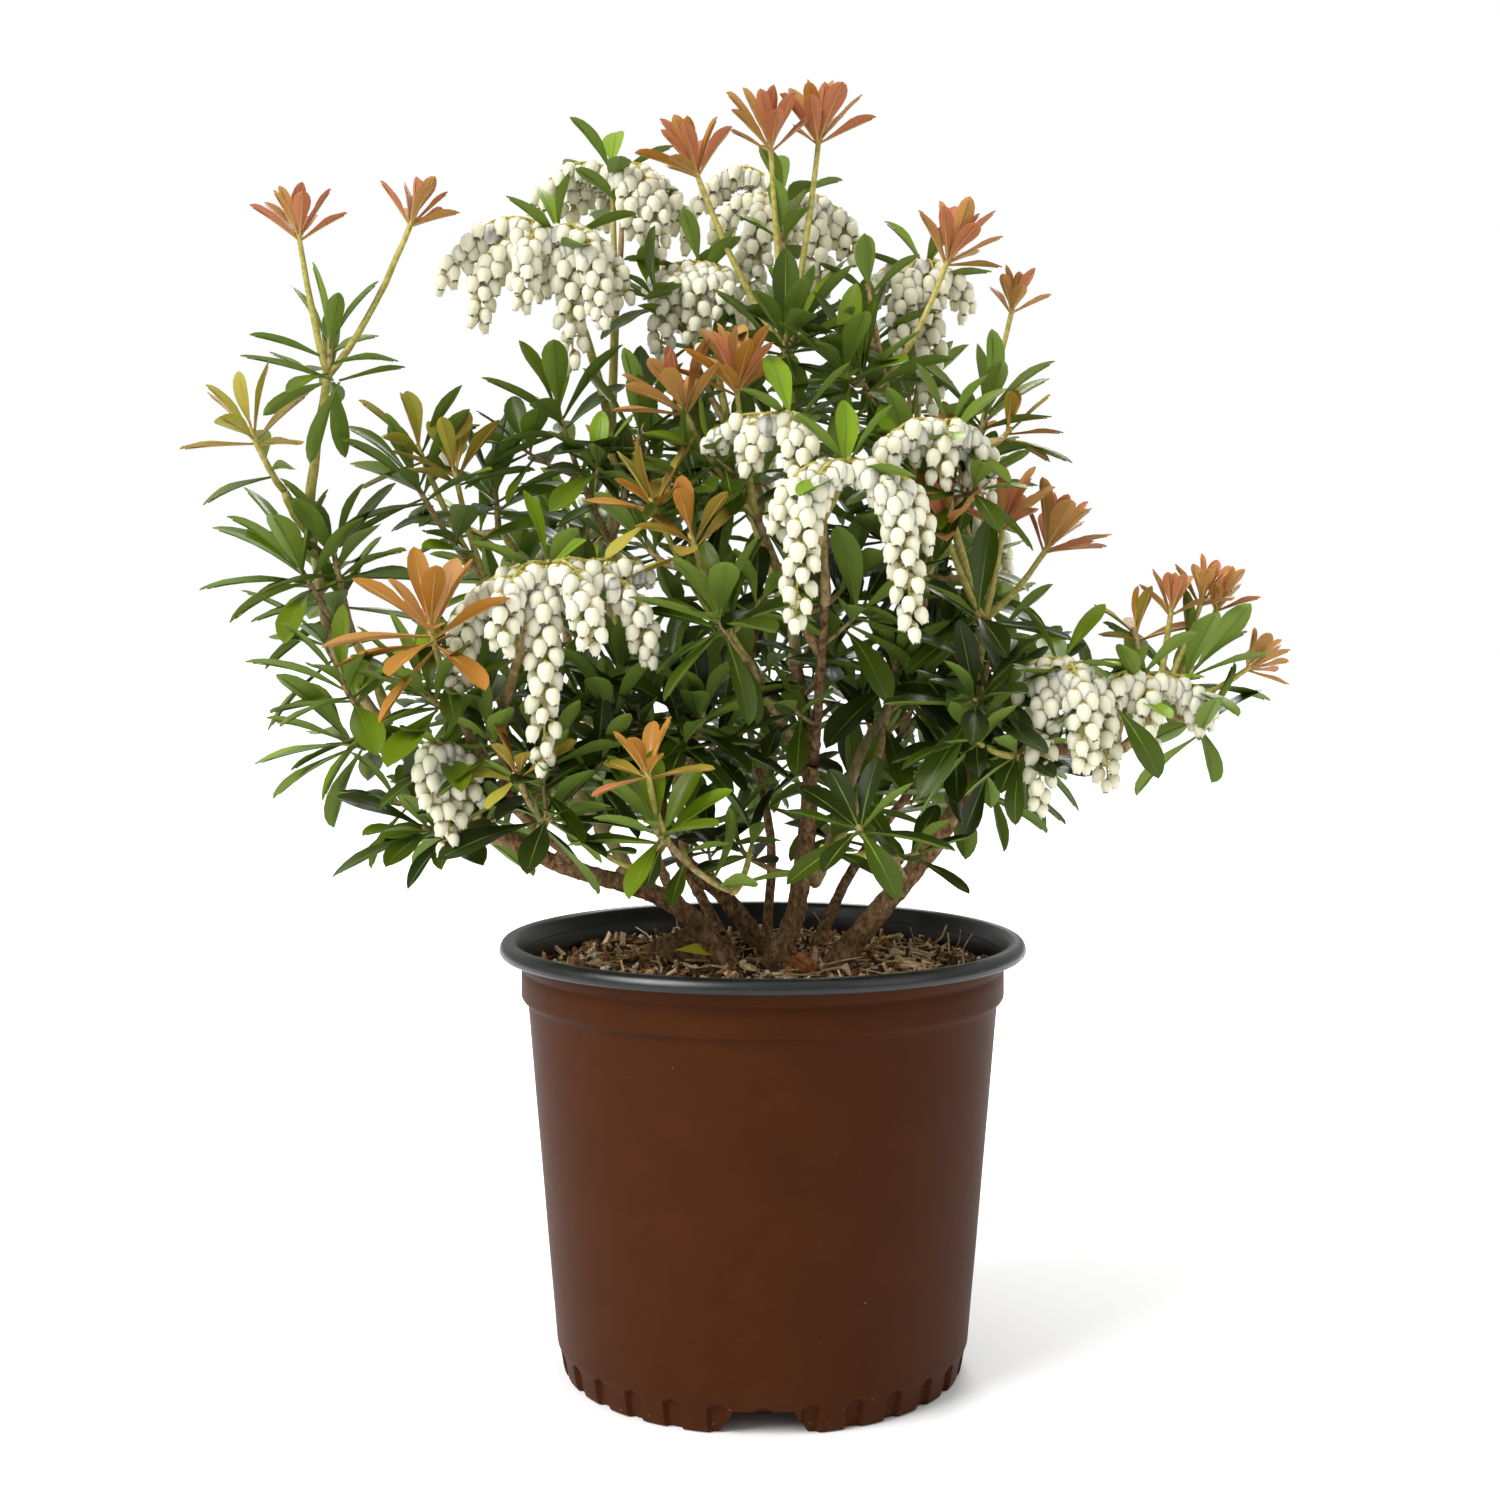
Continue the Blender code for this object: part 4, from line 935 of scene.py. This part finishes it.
class Foliage:
    # every blade grown so far, by tint, and where their middles lie

    def __init__(self, limbPaths):
        self.rows = {tint: [] for tint in leafTints}
        self.cells = set()
        samples = [(point, radius) for limb in limbPaths for point, radius in zip(limb.path, limb.radii)]
        self.wood = KDTree(len(samples))
        self.woodRadius = [radius for _, radius in samples]
        for index, (point, _) in enumerate(samples):
            self.wood.insert(point, index)
        self.wood.balance()
        self.skipped = 0

    def inCrown(self, point, margin=0.5):
        inside = all(crownLow[i] + margin < point[i] < crownHigh[i] - margin for i in range(3))
        return inside and point.z > crownFloor

    def cell(self, point):
        return tuple(int(c // leafRoom["cell"]) for c in point)

    def blocked(self, points):
        for point in points:
            _, index, distance = self.wood.find(point)
            if distance < self.woodRadius[index] + leafRoom["fromWood"]:
                return True
        return sum(self.cell(point) in self.cells for point in points) > leafRoom["shared"]

    def addLeaf(self, tint, root, direction, faceUp, length, width, droop, fold, twist):
        normal = direction.cross(faceUp).cross(direction).normalized()
        spine = [root + direction * length * t + normal * length * (0.35 * droop * t - 1.35 * droop * t**2.2)
                 for t in (0.35, 0.6, 0.8, 1.0)]
        side = direction.cross(normal) * width / 2
        outline = spine + [spine[1] + side, spine[1] - side]
        if not all(self.inCrown(point) for point in outline) or self.blocked(spine):
            self.skipped += 1
            return False
        self.cells.update(self.cell(point) for point in spine[:3])
        self.rows[tint].append((root, direction, faceUp, length, width, droop, fold, twist))
        return True


def pickTint(place, tints, rng):
    if tints:
        return rng.choice(tints)
    # painted shade: the nearer a shoot's tip is to the crown's heart, the darker the green it is dealt
    out = ((place - Vector(shade["heart"])).length - shade["dark"]) / (shade["light"] - shade["dark"])
    step = round(2 * min(1.0, max(0.0, out)) + rng.uniform(-0.6, 0.6))
    return shadeTints[min(2, max(0, step))]


def strayed(tint, rng):
    share = strayShare["young" if tint in youngTints else "green"]
    return rng.choice(strayTints[tint]) if rng.random() < share else tint


def addWhorl(foliage, path, kind, rng, size=1.0, fewer=0):
    leaves, length, width, newest, oldest, depth, droop, fold, tints = whorls[kind]
    leaves -= fewer
    axis = (path[-1] - path[-2]).normalized()
    start = rng.uniform(0, math.tau)
    tint = pickTint(path[-1], tints, rng)
    for index in range(leaves):
        age = index / (leaves - 1)
        lean = math.radians(newest + (oldest - newest) * age + rng.uniform(-9, 9))
        turn = start + spiralTurn * index
        out = outward(axis, turn)
        direction = (axis * math.cos(lean) + out * math.sin(lean) - up * 0.10 * age).normalized()
        root = path[-1] - axis * (0.6 + depth * age) + out * 0.7
        grown = size * rng.uniform(0.84, 1.08) * (0.74 + 0.26 * min(1.0, 0.3 + age * 1.4))
        faceUp = (axis * 0.45 + up + jitter(rng, 0.25)).normalized()
        if abs(direction.dot(faceUp)) > 0.95:
            faceUp = (axis * math.sin(lean) - out * math.cos(lean)).normalized()
        foliage.addLeaf(strayed(tint, rng), root, direction, faceUp, length * grown,
                        width * grown * rng.uniform(0.92, 1.1),
                        droop * rng.uniform(0.4, 1.6), fold * rng.uniform(0.5, 1.3), rng.uniform(-0.4, 0.4))


def addScattered(foliage, path, kind, rng, count, low=0.35, high=0.9):
    # single leaves up a shoot, below its whorl
    _, length, width, _, _, _, droop, fold, tints = whorls[kind]
    tint = pickTint(path[-1], tints, rng)
    turn = rng.uniform(0, math.tau)
    for index in range(count):
        share = low + (high - low) * (index + rng.uniform(0.1, 0.9)) / count
        point, axis = pointOn(path, share)
        turn += spiralTurn
        out = outward(axis, turn)
        direction = (axis * rng.uniform(0.1, 0.6) + out - up * 0.1).normalized()
        size = rng.uniform(0.7, 1.0)
        faceUp = (up + jitter(rng, 0.3)).normalized()
        if abs(direction.dot(faceUp)) > 0.93:
            faceUp = axis
        foliage.addLeaf(strayed(tint, rng), point + out * 0.9, direction, faceUp, length * size,
                        width * size, droop * rng.uniform(0.6, 1.6), fold, rng.uniform(-0.5, 0.5))


bell = {
    "sides": 10,
    "profile": ((1.1, 0.0), (2.3, 0.6), (2.95, 1.9), (3.1, 3.4), (2.75, 5.0), (2.0, 6.4)),
    "neck": (1.3, 7.3),
    "lobe": (1.75, 7.9),
    "step": 1.38,  # of raceme for each bell
    "stalk": 3.6,
    "axisRadius": 0.75,
    "ribs": 0.04,  # how far each bell's lengthwise ribs stand out
    "bareShare": 0.1,  # of a raceme, before its first bell
    "tipShrink": 0.24,  # how much smaller the last bells are
}


def bellTemplate():
    sides, profile = bell["sides"], bell["profile"]
    rings = [[(radius * (1 + bell["ribs"] * (-1) ** side), depth) for side in range(sides)]
             for radius, depth in profile]
    rings.append([bell["neck" if side % 2 else "lobe"] for side in range(sides)])
    points = [(*(heading(360 * side / sides) * radius).xy, depth)
              for ring in rings for side, (radius, depth) in enumerate(ring)]
    return np.array(points), ringFaces(len(rings), sides) + [tuple(reversed(range(sides)))]


def calyxTemplate():
    # five pointed sepals laid over the bell's shoulder
    points = [(0.0, 0.0, -1.1)]
    for side in range(10):
        long = side % 2 == 0
        out = heading(36 * side) * (3.25 if long else 2.0)
        points.append((out.x, out.y, 2.1 if long else 0.25))
    return np.array(points), [(0, 1 + side, 1 + (side + 1) % 10) for side in range(10)]


class Blossom:
    parting = 0.0  # bells left and right of this are two pieces

    def __init__(self):
        self.bells = []
        self.stalks = MeshStore()

    def addRaceme(self, path, rng, size=1.0):
        lengths = lengthsAlong(path)
        total = lengths[-1]
        radius = bell["axisRadius"]
        addTube(self.stalks, path, tapered(path, radius * 1.15, radius * 0.5), 5)
        count = max(4, round(total / bell["step"]))
        turn = rng.uniform(0, math.tau)
        for index in range(count):
            share = (index + 0.6) / count
            if share < bell["bareShare"]:
                continue
            point, axis = pointOn(path, share)
            turn += spiralTurn
            out = outward(axis, turn)
            if out.z > 0.25:
                out = (out - 2.0 * (out.z - 0.1) * up).normalized()
            grown = size * rng.uniform(0.92, 1.08) * (1.0 - bell["tipShrink"] * max(0.0, share - 0.7) / 0.3)
            reach = bell["stalk"] * rng.uniform(0.7, 1.2) * (1.0 if share < 0.94 else 0.6)
            hang = (-up + out * rng.uniform(0.15, 0.5) + axis * 0.1).normalized()
            top = point + out * reach + up * rng.uniform(-0.6, 0.8)
            addTube(self.stalks, arcPath(point, point + out * reach * 0.75 + up * 1.0, top, 3),
                    (0.34, 0.34, 0.34, 0.42), 4)
            self.bells.append((top, hang, rng.uniform(0, math.tau), grown))

    def build(self):
        tops = np.array([tuple(row[0]) for row in self.bells])
        hang = np.array([tuple(row[1]) for row in self.bells])
        turn = np.array([row[2] for row in self.bells])
        grown = np.array([row[3] for row in self.bells])
        aside = np.cross(hang, np.tile((1.0, 0.0, 0.0), (len(hang), 1)))
        aside /= np.linalg.norm(aside, axis=1, keepdims=True)
        beside = np.cross(hang, aside)
        first = aside * np.cos(turn)[:, None] + beside * np.sin(turn)[:, None]
        second = np.cross(hang, first)

        def placed(template):
            scaled = template[None] * grown[:, None, None]
            return (tops[:, None] + scaled[..., :1] * first[:, None] + scaled[..., 1:2] * second[:, None]
                    + scaled[..., 2:] * hang[:, None])

        points, faces = bellTemplate()
        everyBell, left = placed(points), tops[:, 0] < self.parting
        bells = {"bellsLeft": MeshStore(), "bellsRight": MeshStore()}
        bells["bellsLeft"].addMany(everyBell[left], faces)
        bells["bellsRight"].addMany(everyBell[~left], faces)
        points, faces = calyxTemplate()
        self.stalks.addMany(placed(points), faces)
        return bells, self.stalks


# mass: its limb, where on it, how far up it forks, how many side sprigs each shoot has, and its shoots.
masses = {
    "left_spires": ("bough_left_rise", 1, 0.6, 0, (
        ("narrow", -175, -39, 439), ("crest", -187, -42, 480), ("crest", -142, -30, 487),
        ("narrow", -180, -34, 420))),
    "left_wing": ("bough_left_rise", 0.95, 0.4, 0, (("olive", -203, -62, 399),)),
    "left_flank": ("bough_left_rise", 0.5, 0.5, 0, (
        ("green", -186, -58, 346), ("green", -173, -50, 352), ("slim", -176, -22, 336))),
    "left_elbow": ("bough_left_rise", 0.2, 0.45, 0, (
        ("green", -165, -80, 300), ("green", -172, -50, 276), ("slim", -180, -44, 318))),
    "left_skirt": ("stem_left", 0.82, 0.5, 1, (("green", -136, -62, 240), ("green", -128, -16, 242))),
    "left_bells": ("stem_left", 0.93, 0.5, 0, (
        ("bloom", -126, -88, 276, (-106, 8, 24), (-48, 6, 38), (19, 12, 23)),)),
    "left_front_tuft": ("bough_left_front", 0.74, 0.5, 0, (
        ("copper", -127, -102, 322), ("green", -134, -88, 298))),
    "left_front_bloom": ("bough_left_front", 1, 0.5, 0, (
        ("bloom", -82, -94, 346, (-90, 18, 74), (-12, 39, 36), (3, 37, 1), (178, 36, 46), (-126, 27, 30),
        (-54, 30, 30), (37, 23, 6)),)),
    "left_front_low": ("bough_left_front", 0.5, 0.5, 2, (
        ("oliveTip", -94, -104, 266), ("green", -82, -86, 246))),
    "left_olive": ("bough_left_fan", 0.7, 0.45, 0, (
        ("olive", -144, -14, 396), ("olive", -128, -22, 386), ("green", -146, -20, 383))),
    "left_inner": ("bough_left_fan", 1, 0.5, 0, (("green", -114, 6, 380), ("slim", -128, 36, 362))),
    "crown_left_bloom": ("bough_crown_left", 1, 0.55, 0, (
        ("bloom", -86, -10, 486, (178, 49, 20, 20), (-4, 28, 27, 12), (-54, 12, 57), (-169, 33, 39),
        (-130, 21, 33), (-46, 28, 41), (108, 32, 22)),)),
    "crown_left_tip": ("bough_crown_left", 0.86, 0.6, 0, (
        ("sprout", -60, 26, 504), ("bloom", -65, 30, 519, (180, 34, 15, 12), (-16, 36, 34, 10),
        (-46, 30, 40), (-60, 22, 30), (152, 22, 17, 10), (71, 32, 3), (104, 31, 18)))),
    "crown_left_shade": ("bough_crown_left", 0.45, 0.45, 2, (
        ("fresh", -86, -14, 412), ("green", -50, -20, 404))),
    "top_spires": ("bough_crown_centre", 1, 0.4, 0, (
        ("green", 14, -14, 444), ("bronze", -29, -6, 512), ("bronze", 3, -4, 523), ("bronze", 24, 6, 528),
        ("sprout", 8, 0, 486))),
    "top_bloom": ("bough_crown_centre", 0.72, 0.6, 0, (
        ("bloom", 10, 44, 511, (177, 39, 6, 27), (-8, 29, 28), (-125, 22, 36), (-140, 22, 62),
        (-42, 21, 47), (89, 22, 23), (176, 31, 18, 12)), ("green", 10, 74, 452))),
    "upper_bloom": ("bough_crown_centre", 0.5, 0.55, 0, (
        ("bloom", -27, 10, 474, (-149, 19, 38), (-92, 16, 37), (168, 20, 11), (-56, 19, 20), (98, 40, 24)),
        ("slim", -35, 18, 452))),
    "right_spire": ("bough_crown_right", 1, 0.4, 0, (
        ("green", 39, -24, 426), ("sprout", 44, 0, 464), ("small", 46, 24, 448))),
    "right_bloom_high": ("bough_crown_right", 0.84, 0.6, 0, (
        ("bloom", 71, 34, 478, (0, 18, 18), (-77, 14, 18), (-77, 8, 61), (-124, 22, 38), (175, 25, 16)),
        ("green", 66, 60, 424))),
    "right_slender": ("bough_crown_right", 0.66, 0.5, 0, (
        ("fan", 106, 2, 456), ("green", 94, -10, 411), ("slim", 88, 16, 392))),
    "centre_tuft": ("bough_front", 0.86, 0.6, 1, (
        ("bronze", -11, -72, 416), ("bronze", -33, -70, 408), ("green", -14, -60, 376))),
    "centre_bloom": ("bough_front", 1, 0.5, 0, (
        ("bloom", 32, -108, 384, (-141, 26, 60), (-28, 26, 63), (-172, 26, 24), (-8, 28, 30)),
        ("bloom", 10, -88, 402, (172, 30, 10), (-154, 18, 19), (-78, 16, 26)))),
    "centre_right_bloom": ("bough_right_rise", 1, 0.55, 1, (
        ("bloom", 72, -80, 400, (23, 15, 26), (-119, 9, 22), (-155, 29, 17), (-170, 16, 12)),
        ("fresh", 58, -62, 384))),
    "centre_olive": ("bough_front", 0.5, 0.5, 1, (
        ("tawny", -28, -100, 356), ("tawny", -44, -84, 370), ("green", -18, -104, 326))),
    "right_tufts": ("bough_right_rise", 0.8, 0.5, 0, (
        ("bronze", 70, -70, 362), ("bronze", 97, -48, 364), ("bronze", 118, -34, 355),
        ("slim", 84, -66, 326))),
    "right_shade": ("bough_right_rise", 0.62, 0.5, 2, (("green", 82, -84, 292), ("slim", 98, -4, 318))),
    "right_low_bloom": ("bough_right_low", 0.6, 0.5, 0, (
        ("bloom", 118, -68, 308, (-121, 21, 56), (-77, 25, 39), (-173, 16, 19), (-30, 20, 46)),
        ("small", 98, -80, 270))),
    "right_far_bloom": ("bough_right_low", 0.95, 0.5, 0, (
        ("bloom", 150, -62, 302, (9, 27, 20), (-77, 10, 24), (-149, 16, 11)), ("lone", 138, -76, 290))),
    "right_far_tufts": ("bough_right_low", 1, 0.4, 0, (
        ("oliveTip", 150, -46, 320), ("fan", 164, -52, 329), ("fan", 178, -46, 333),
        ("fan", 186, -40, 330), ("fan", 200, -42, 305), ("green", 175, -46, 304),
        ("lone", 178, -50, 281))),
    "front_low": ("bough_front_low", 1, 0.5, 1, (
        ("fresh", -42, -108, 246), ("copperTip", -44, -118, 268), ("small", -12, -92, 218))),
    "front_right_low": ("stem_right", 0.5, 0.55, 1, (("star", 36, -98, 244), ("small", 62, -62, 230))),
    "heart_left": ("stem_mid_left", 0.62, 0.5, 3, (("green", -58, -44, 300), ("green", -24, -62, 286))),
    "heart_right": ("bough_crown_right", 0.3, 0.5, 2, (("green", 54, -44, 308), ("green", 84, 34, 306))),
    "back_left_low": ("stem_back_left", 0.6, 0.5, 2, (
        ("green", -112, 72, 262), ("green", -70, 136, 256), ("green", -130, 40, 300))),
    "back_left_high": ("stem_back_left", 1, 0.5, 2, (
        ("spire", -70, 128, 396), ("green", -128, 116, 340), ("bloom", -84, 132, 374, (120, 26, 44),
        (60, 22, 50), (180, 24, 40)))),
    "back_right_low": ("stem_back_right", 0.6, 0.5, 2, (
        ("green", 124, 62, 268), ("green", 76, 134, 258), ("small", 146, 28, 290))),
    "back_right_high": ("stem_back_right", 1, 0.5, 2, (
        ("spire", 92, 100, 404), ("green", 98, 104, 326), ("bloom", 94, 128, 378, (60, 28, 48),
        (120, 22, 50), (10, 24, 36)))),
    "back_low": ("stem_back", 0.5, 0.5, 2, (("green", -14, 138, 262), ("green", 24, 124, 312))),
    "back_high": ("stem_back", 1, 0.5, 2, (
        ("spire", -32, 92, 470), ("bloom", 6, 122, 420, (100, 30, 44), (40, 26, 50)),
        ("green", -42, 112, 404), ("green", 48, 90, 420))),
}
# Side shoots where the crown would show a hole: each grows from the nearest wood below it.
sideShoots = (
    ("green", 43, -40, 359), ("green", 34, -48, 337), ("small", 58, -30, 345), ("small", -47, -60, 353),
    ("small", -10, -12, 226), ("green", -26, -50, 291), ("star", 81, -78, 278), ("hang", 22, -94, 236),
    ("hang", -31, -90, 234), ("hang", -5, -60, 232), ("hang", -66, -66, 232), ("small", 98, -30, 290),
    ("oliveTip", 103, -20, 402), ("slim", 172, -46, 284), ("green", -62, -64, 286), ("hang", 92, -50, 264),
    ("small", -47, 4, 461), ("green", 9, -34, 438), ("green", 32, -44, 424),
)
leaningShoots = (("bronze", 78, -12, 475, 44, -18, 420),)  # the last three: beside which wood it starts
twigs = {"stem": (2.2, 1.7), "shoot": (1.55, 1.1), "sprig": (1.0, 0.7), "sag": 0.16, "sideSag": 0.24,
         "leafStep": 16.0}
greenWooded = ("bronze", "spire", "fan", "crest", "olive", "tawny", "copper", "copperTip", "bloom")
sprigs = {"length": (16.0, 30.0), "limbStep": 24.0, "limbStart": 0.3, "lowest": 205.0,
          "clearFront": -18.0, "clearBelow": 262.0, "clearAside": 105.0,
          "bare": ("bough_right_low", "bough_left_rise", "bough_left_fan")}


def knobbly(centre, out, radius):
    # leaf scars on young wood
    return 0.3 * radius * noise.noise((centre + out * radius) / 2.2)


def growSprig(foliage, woody, point, axis, turn, rng, kind="small"):
    # a short side twig with its own whorl
    out = outward(axis, turn)
    direction = (axis * 0.45 + out * 0.9 + up * 0.25).normalized()
    length = rng.uniform(*sprigs["length"])
    tip = point + direction * length + up * length * 0.15
    beforeStems = (tip.y < sprigs["clearFront"] and tip.z < sprigs["clearBelow"]
                   and abs(tip.x) < sprigs["clearAside"])
    if not foliage.inCrown(tip, 6.0) or beforeStems:
        return
    path = arcPath(point, point + direction * length * 0.55, tip, 4)
    addTube(woody, path, tapered(path, *twigs["sprig"]), 5)
    addWhorl(foliage, path, kind, rng)


def growShoot(row, root, fill, foliage, blossom, woody, green, rng):
    kind, tip = row[0], Vector(row[1:4])
    corner = root.lerp(tip, 0.5)
    corner.z -= twigs["sag"] * (tip - root).length
    path = arcPath(root, corner, tip, 9)
    addTube(green if kind in greenWooded else woody, path, tapered(path, *twigs["shoot"]), 7, knobbly)
    addWhorl(foliage, path, kind, rng)
    length = (tip - root).length
    if kind in ("green", "fresh", "small"):
        addScattered(foliage, path, kind, rng, max(1, round(length / twigs["leafStep"])))
    if kind == "spire":
        # last year's whorl sits part of the way down a new spire
        addWhorl(foliage, path[:4], "green", rng, 0.85, fewer=3)
    if kind in ("olive", "copper"):
        addScattered(foliage, path, "small", rng, 3, 0.2, 0.7)
    for index in range(fill):
        point, axis = pointOn(path, 0.3 + 0.5 * index / max(1, fill))
        growSprig(foliage, woody, point, axis, rng.uniform(0, math.tau), rng)
    for towards, reach, drop, *lift in row[4:]:
        out = heading(towards)
        crest = tip - (path[-1] - path[-2]).normalized() * rng.uniform(0.6, 3.0)
        end = crest + out * reach - up * drop
        corner = crest + out * reach * (0.6 if lift else 0.9) + up * (lift[0] if lift else 6.0)
        blossom.addRaceme(arcPath(crest, corner, end, 12), rng)
    return path


def growCrown(grown):
    foliage, blossom = Foliage(grown.values()), Blossom()
    woody, green = MeshStore(), MeshStore()
    wood = [point for limb in grown.values() for point in limb.path[2:]]
    for number, (name, (limb, along, forkShare, fill, shoots)) in enumerate(masses.items()):
        rng = random.Random(seeds["masses"] + number)
        tips = [Vector(row[1:4]) for row in shoots]
        middle = sum(tips, Vector()) / len(tips)
        foot, out = grown[limb].startTowards(along, middle, limbShape["twigGap"])
        fork = foot.lerp(middle, forkShare)
        stem = arcPath(foot - out * 1.5, foot.lerp(fork, 0.4) + out * 3.0, fork, 6)
        store = green if limb in limbShape["pale"] else woody
        addTube(store, stem, tapered(stem, *twigs["stem"]), 8, knobbly)
        wood += stem[2:]
        for row in shoots:
            wood += growShoot(row, fork, fill, foliage, blossom, woody, green, rng)[2:]
        if fill:
            addScattered(foliage, stem, "small", rng, fill)
    growSideShoots(foliage, woody, green, wood)
    print("shoots grown:", sum(len(rows) for rows in foliage.rows.values()), "leaves")
    rng = random.Random(seeds["sprigs"])
    for name, limb in grown.items():
        if name in sprigs["bare"]:
            continue
        length = lengthsAlong(limb.path)[-1]
        count = int(length * (1 - sprigs["limbStart"]) / sprigs["limbStep"])
        turn = rng.uniform(0, math.tau)
        for index in range(count):
            share = sprigs["limbStart"] + (1 - sprigs["limbStart"]) * (index + 0.5) / count
            point, axis = pointOn(limb.path, share)
            turn += spiralTurn
            if point.z > sprigs["lowest"]:
                growSprig(foliage, woody, point, axis, turn, rng, rng.choice(("small", "green")))
    total = sum(len(rows) for rows in foliage.rows.values())
    print("crown grown:", total, "leaves,", foliage.skipped, "skipped,", len(blossom.bells), "bells")
    return foliage, blossom, woody, green


def growSideShoots(foliage, woody, green, wood):
    rng = random.Random(seeds["sideShoots"])
    for kind, *place in sideShoots + leaningShoots:
        tip, near = Vector(place[:3]), Vector(place[-3:])
        root = min(wood, key=lambda point: (near - point).length + 2.0 * max(0.0, point.z - near.z + 6.0))
        corner = root.lerp(tip, 0.55) - up * twigs["sideSag"] * (tip - root).length
        path = arcPath(root, corner, tip, 8)
        addTube(green if whorls[kind][8] else woody, path, tapered(path, *twigs["shoot"]), 6, knobbly)
        addWhorl(foliage, path, kind, rng)


def makeCrown(grown):
    foliage, blossom, woody, green = growCrown(grown)
    names = list(masses)
    woody.build("woodyTwigs", finish("twigBark"), "stem_bark", names)
    green.build("greenShoots", finish("greenShootSkin"), "young_leaf", names)
    sheets = {"greenUndersides": MeshStore(), "greenRibs": MeshStore(), "youngRibs": MeshStore()}
    for tint, rows in foliage.rows.items():
        if not rows:
            continue
        young = tint in youngTints
        blades = makeBlades(rows, bladeShape["youngOutline" if young else "outline"])
        tops = MeshStore()
        tops.addMany(blades["top"], bladeFaces["top"])
        (tops if young else sheets["greenUndersides"]).addMany(blades["under"], bladeFaces["under"])
        for rib in ("rib", "underRib"):
            sheets["youngRibs" if young else "greenRibs"].addMany(blades[rib], bladeFaces["rib"])
        colour, roughness, coat = leafTints[tint]
        tops.build(tint + "Leaves", leafSkin(tint + "LeafSkin", colour, roughness, coat),
                   "young_leaf" if young else "evergreen_leaf", names)
    finishes = {
        "greenUndersides": (leafSkin("leafUnderside", "#6a8030", 0.55), "evergreen_leaf"),
        "greenRibs": (leafSkin("leafRib", "#697f30", 0.5), "evergreen_leaf"),
        "youngRibs": (leafSkin("youngRib", "#bd9455", 0.5), "young_leaf"),
    }
    for name, store in sheets.items():
        store.build(name, *finishes[name], names)
    bells, stalks = blossom.build()
    petals = petalWax()
    for name, store in bells.items():
        store.build(name, petals, "blossom", names)
    stalks.build("flowerStalks", finish("calyxSkin"), "blossom", names)


camera = {
    "place": (-5.4, -926.3, 329.1),
    "pitchDown": 0.067,
    "focalPixels": 2171.9,
    "framePixels": 1500.0,
    "sensor": 36.0,
}
lights = {
    # the light of the white studio, whose backdrop shows pure white; the floor's reach is in metres
    "studio": {"horizon": 0.3, "overhead": 0.95, "floorReach": 12.0},
    "key": {"kind": "SUN", "place": (-1500, -1050, 1750), "aim": (0, 0, 300),
            "width": 0.6, "strength": 3.3},
    "back": {"kind": "AREA", "place": (300, 1600, 1500), "aim": (0, 0, 380),
            "width": 0.9, "strength": 22.0},
    "fill": {"kind": "AREA", "place": (1700, -1100, 1100), "aim": (0, 0, 300),
            "width": 1.2, "strength": 4.0},
}


def makeStage():
    view = bpy.data.cameras.new("camera")
    view.sensor_width = camera["sensor"]
    view.lens = camera["focalPixels"] / camera["framePixels"] * camera["sensor"]
    eye = addObject("camera", view)
    eye.location = Vector(camera["place"]) * metresPerMm
    eye.rotation_euler = (math.pi / 2 - camera["pitchDown"], 0.0, 0.0)
    bpy.context.scene.camera = eye
    bpy.context.scene.view_settings.view_transform = "Standard"
    world = bpy.data.worlds.new("whiteStudio")
    world.use_nodes = True
    seen = world.node_tree.nodes["Background"]
    seen.inputs["Color"].default_value = (1.0, 1.0, 1.0, 1.0)
    ray = addNode(world, "ShaderNodeLightPath")
    around = addNode(world, "ShaderNodeTexCoord")
    sky = addNode(world, "ShaderNodeSeparateXYZ", {"Vector": (around, "Generated")})
    glow = addNode(world, "ShaderNodeMapRange", {
        "Value": (sky, "Z"), "From Min": -0.05, "From Max": 0.9,
        "To Min": lights["studio"]["horizon"], "To Max": lights["studio"]["overhead"]})
    strength = addNode(world, "ShaderNodeMapRange", {
        "Value": (ray, "Is Camera Ray"), "To Min": (glow, "Result"), "To Max": 1.0})
    world.node_tree.links.new(strength.outputs["Result"], seen.inputs["Strength"])
    bpy.context.scene.world = world
    for name in ("key", "back", "fill"):
        settings = lights[name]
        data = bpy.data.lights.new(name, settings["kind"])
        data.energy = settings["strength"]
        if settings["kind"] == "SUN":
            data.angle = settings["width"]
        else:
            data.shape = "DISK"
            data.size = settings["width"]
        lamp = addObject(name, data)
        lamp.location = Vector(settings["place"]) * metresPerMm
        aim = (Vector(settings["aim"]) - Vector(settings["place"])).normalized()
        lamp.rotation_euler = aim.to_track_quat("-Z", "Y").to_euler()
    mesh = bpy.data.meshes.new("floor")
    reach = lights["studio"]["floorReach"]
    mesh.from_pydata([(-reach, -reach, 0), (reach, -reach, 0), (reach, reach, 0), (-reach, reach, 0)], [],
                     [(0, 1, 2, 3)])
    material, _ = newMaterial("mattWhitePaper", "#fbfbfa", 0.9)  # seamless paper: no shine
    mesh.materials.append(material)
    addObject("floor", mesh)


print("stage")
makeStage()
print("pot")
makePotWall()
makePotRim()
print("potting mix")
makeSoil()
makeChips()
litter = random.Random(seeds["litter"])
makeSticks(litter)
makePerlite(litter)
makeRedFlake(litter)
makeFallenLeaf()
print("limbs")
grownLimbs = growLimbs()
makeBurl()
print("crown")
makeCrown(grownLimbs)
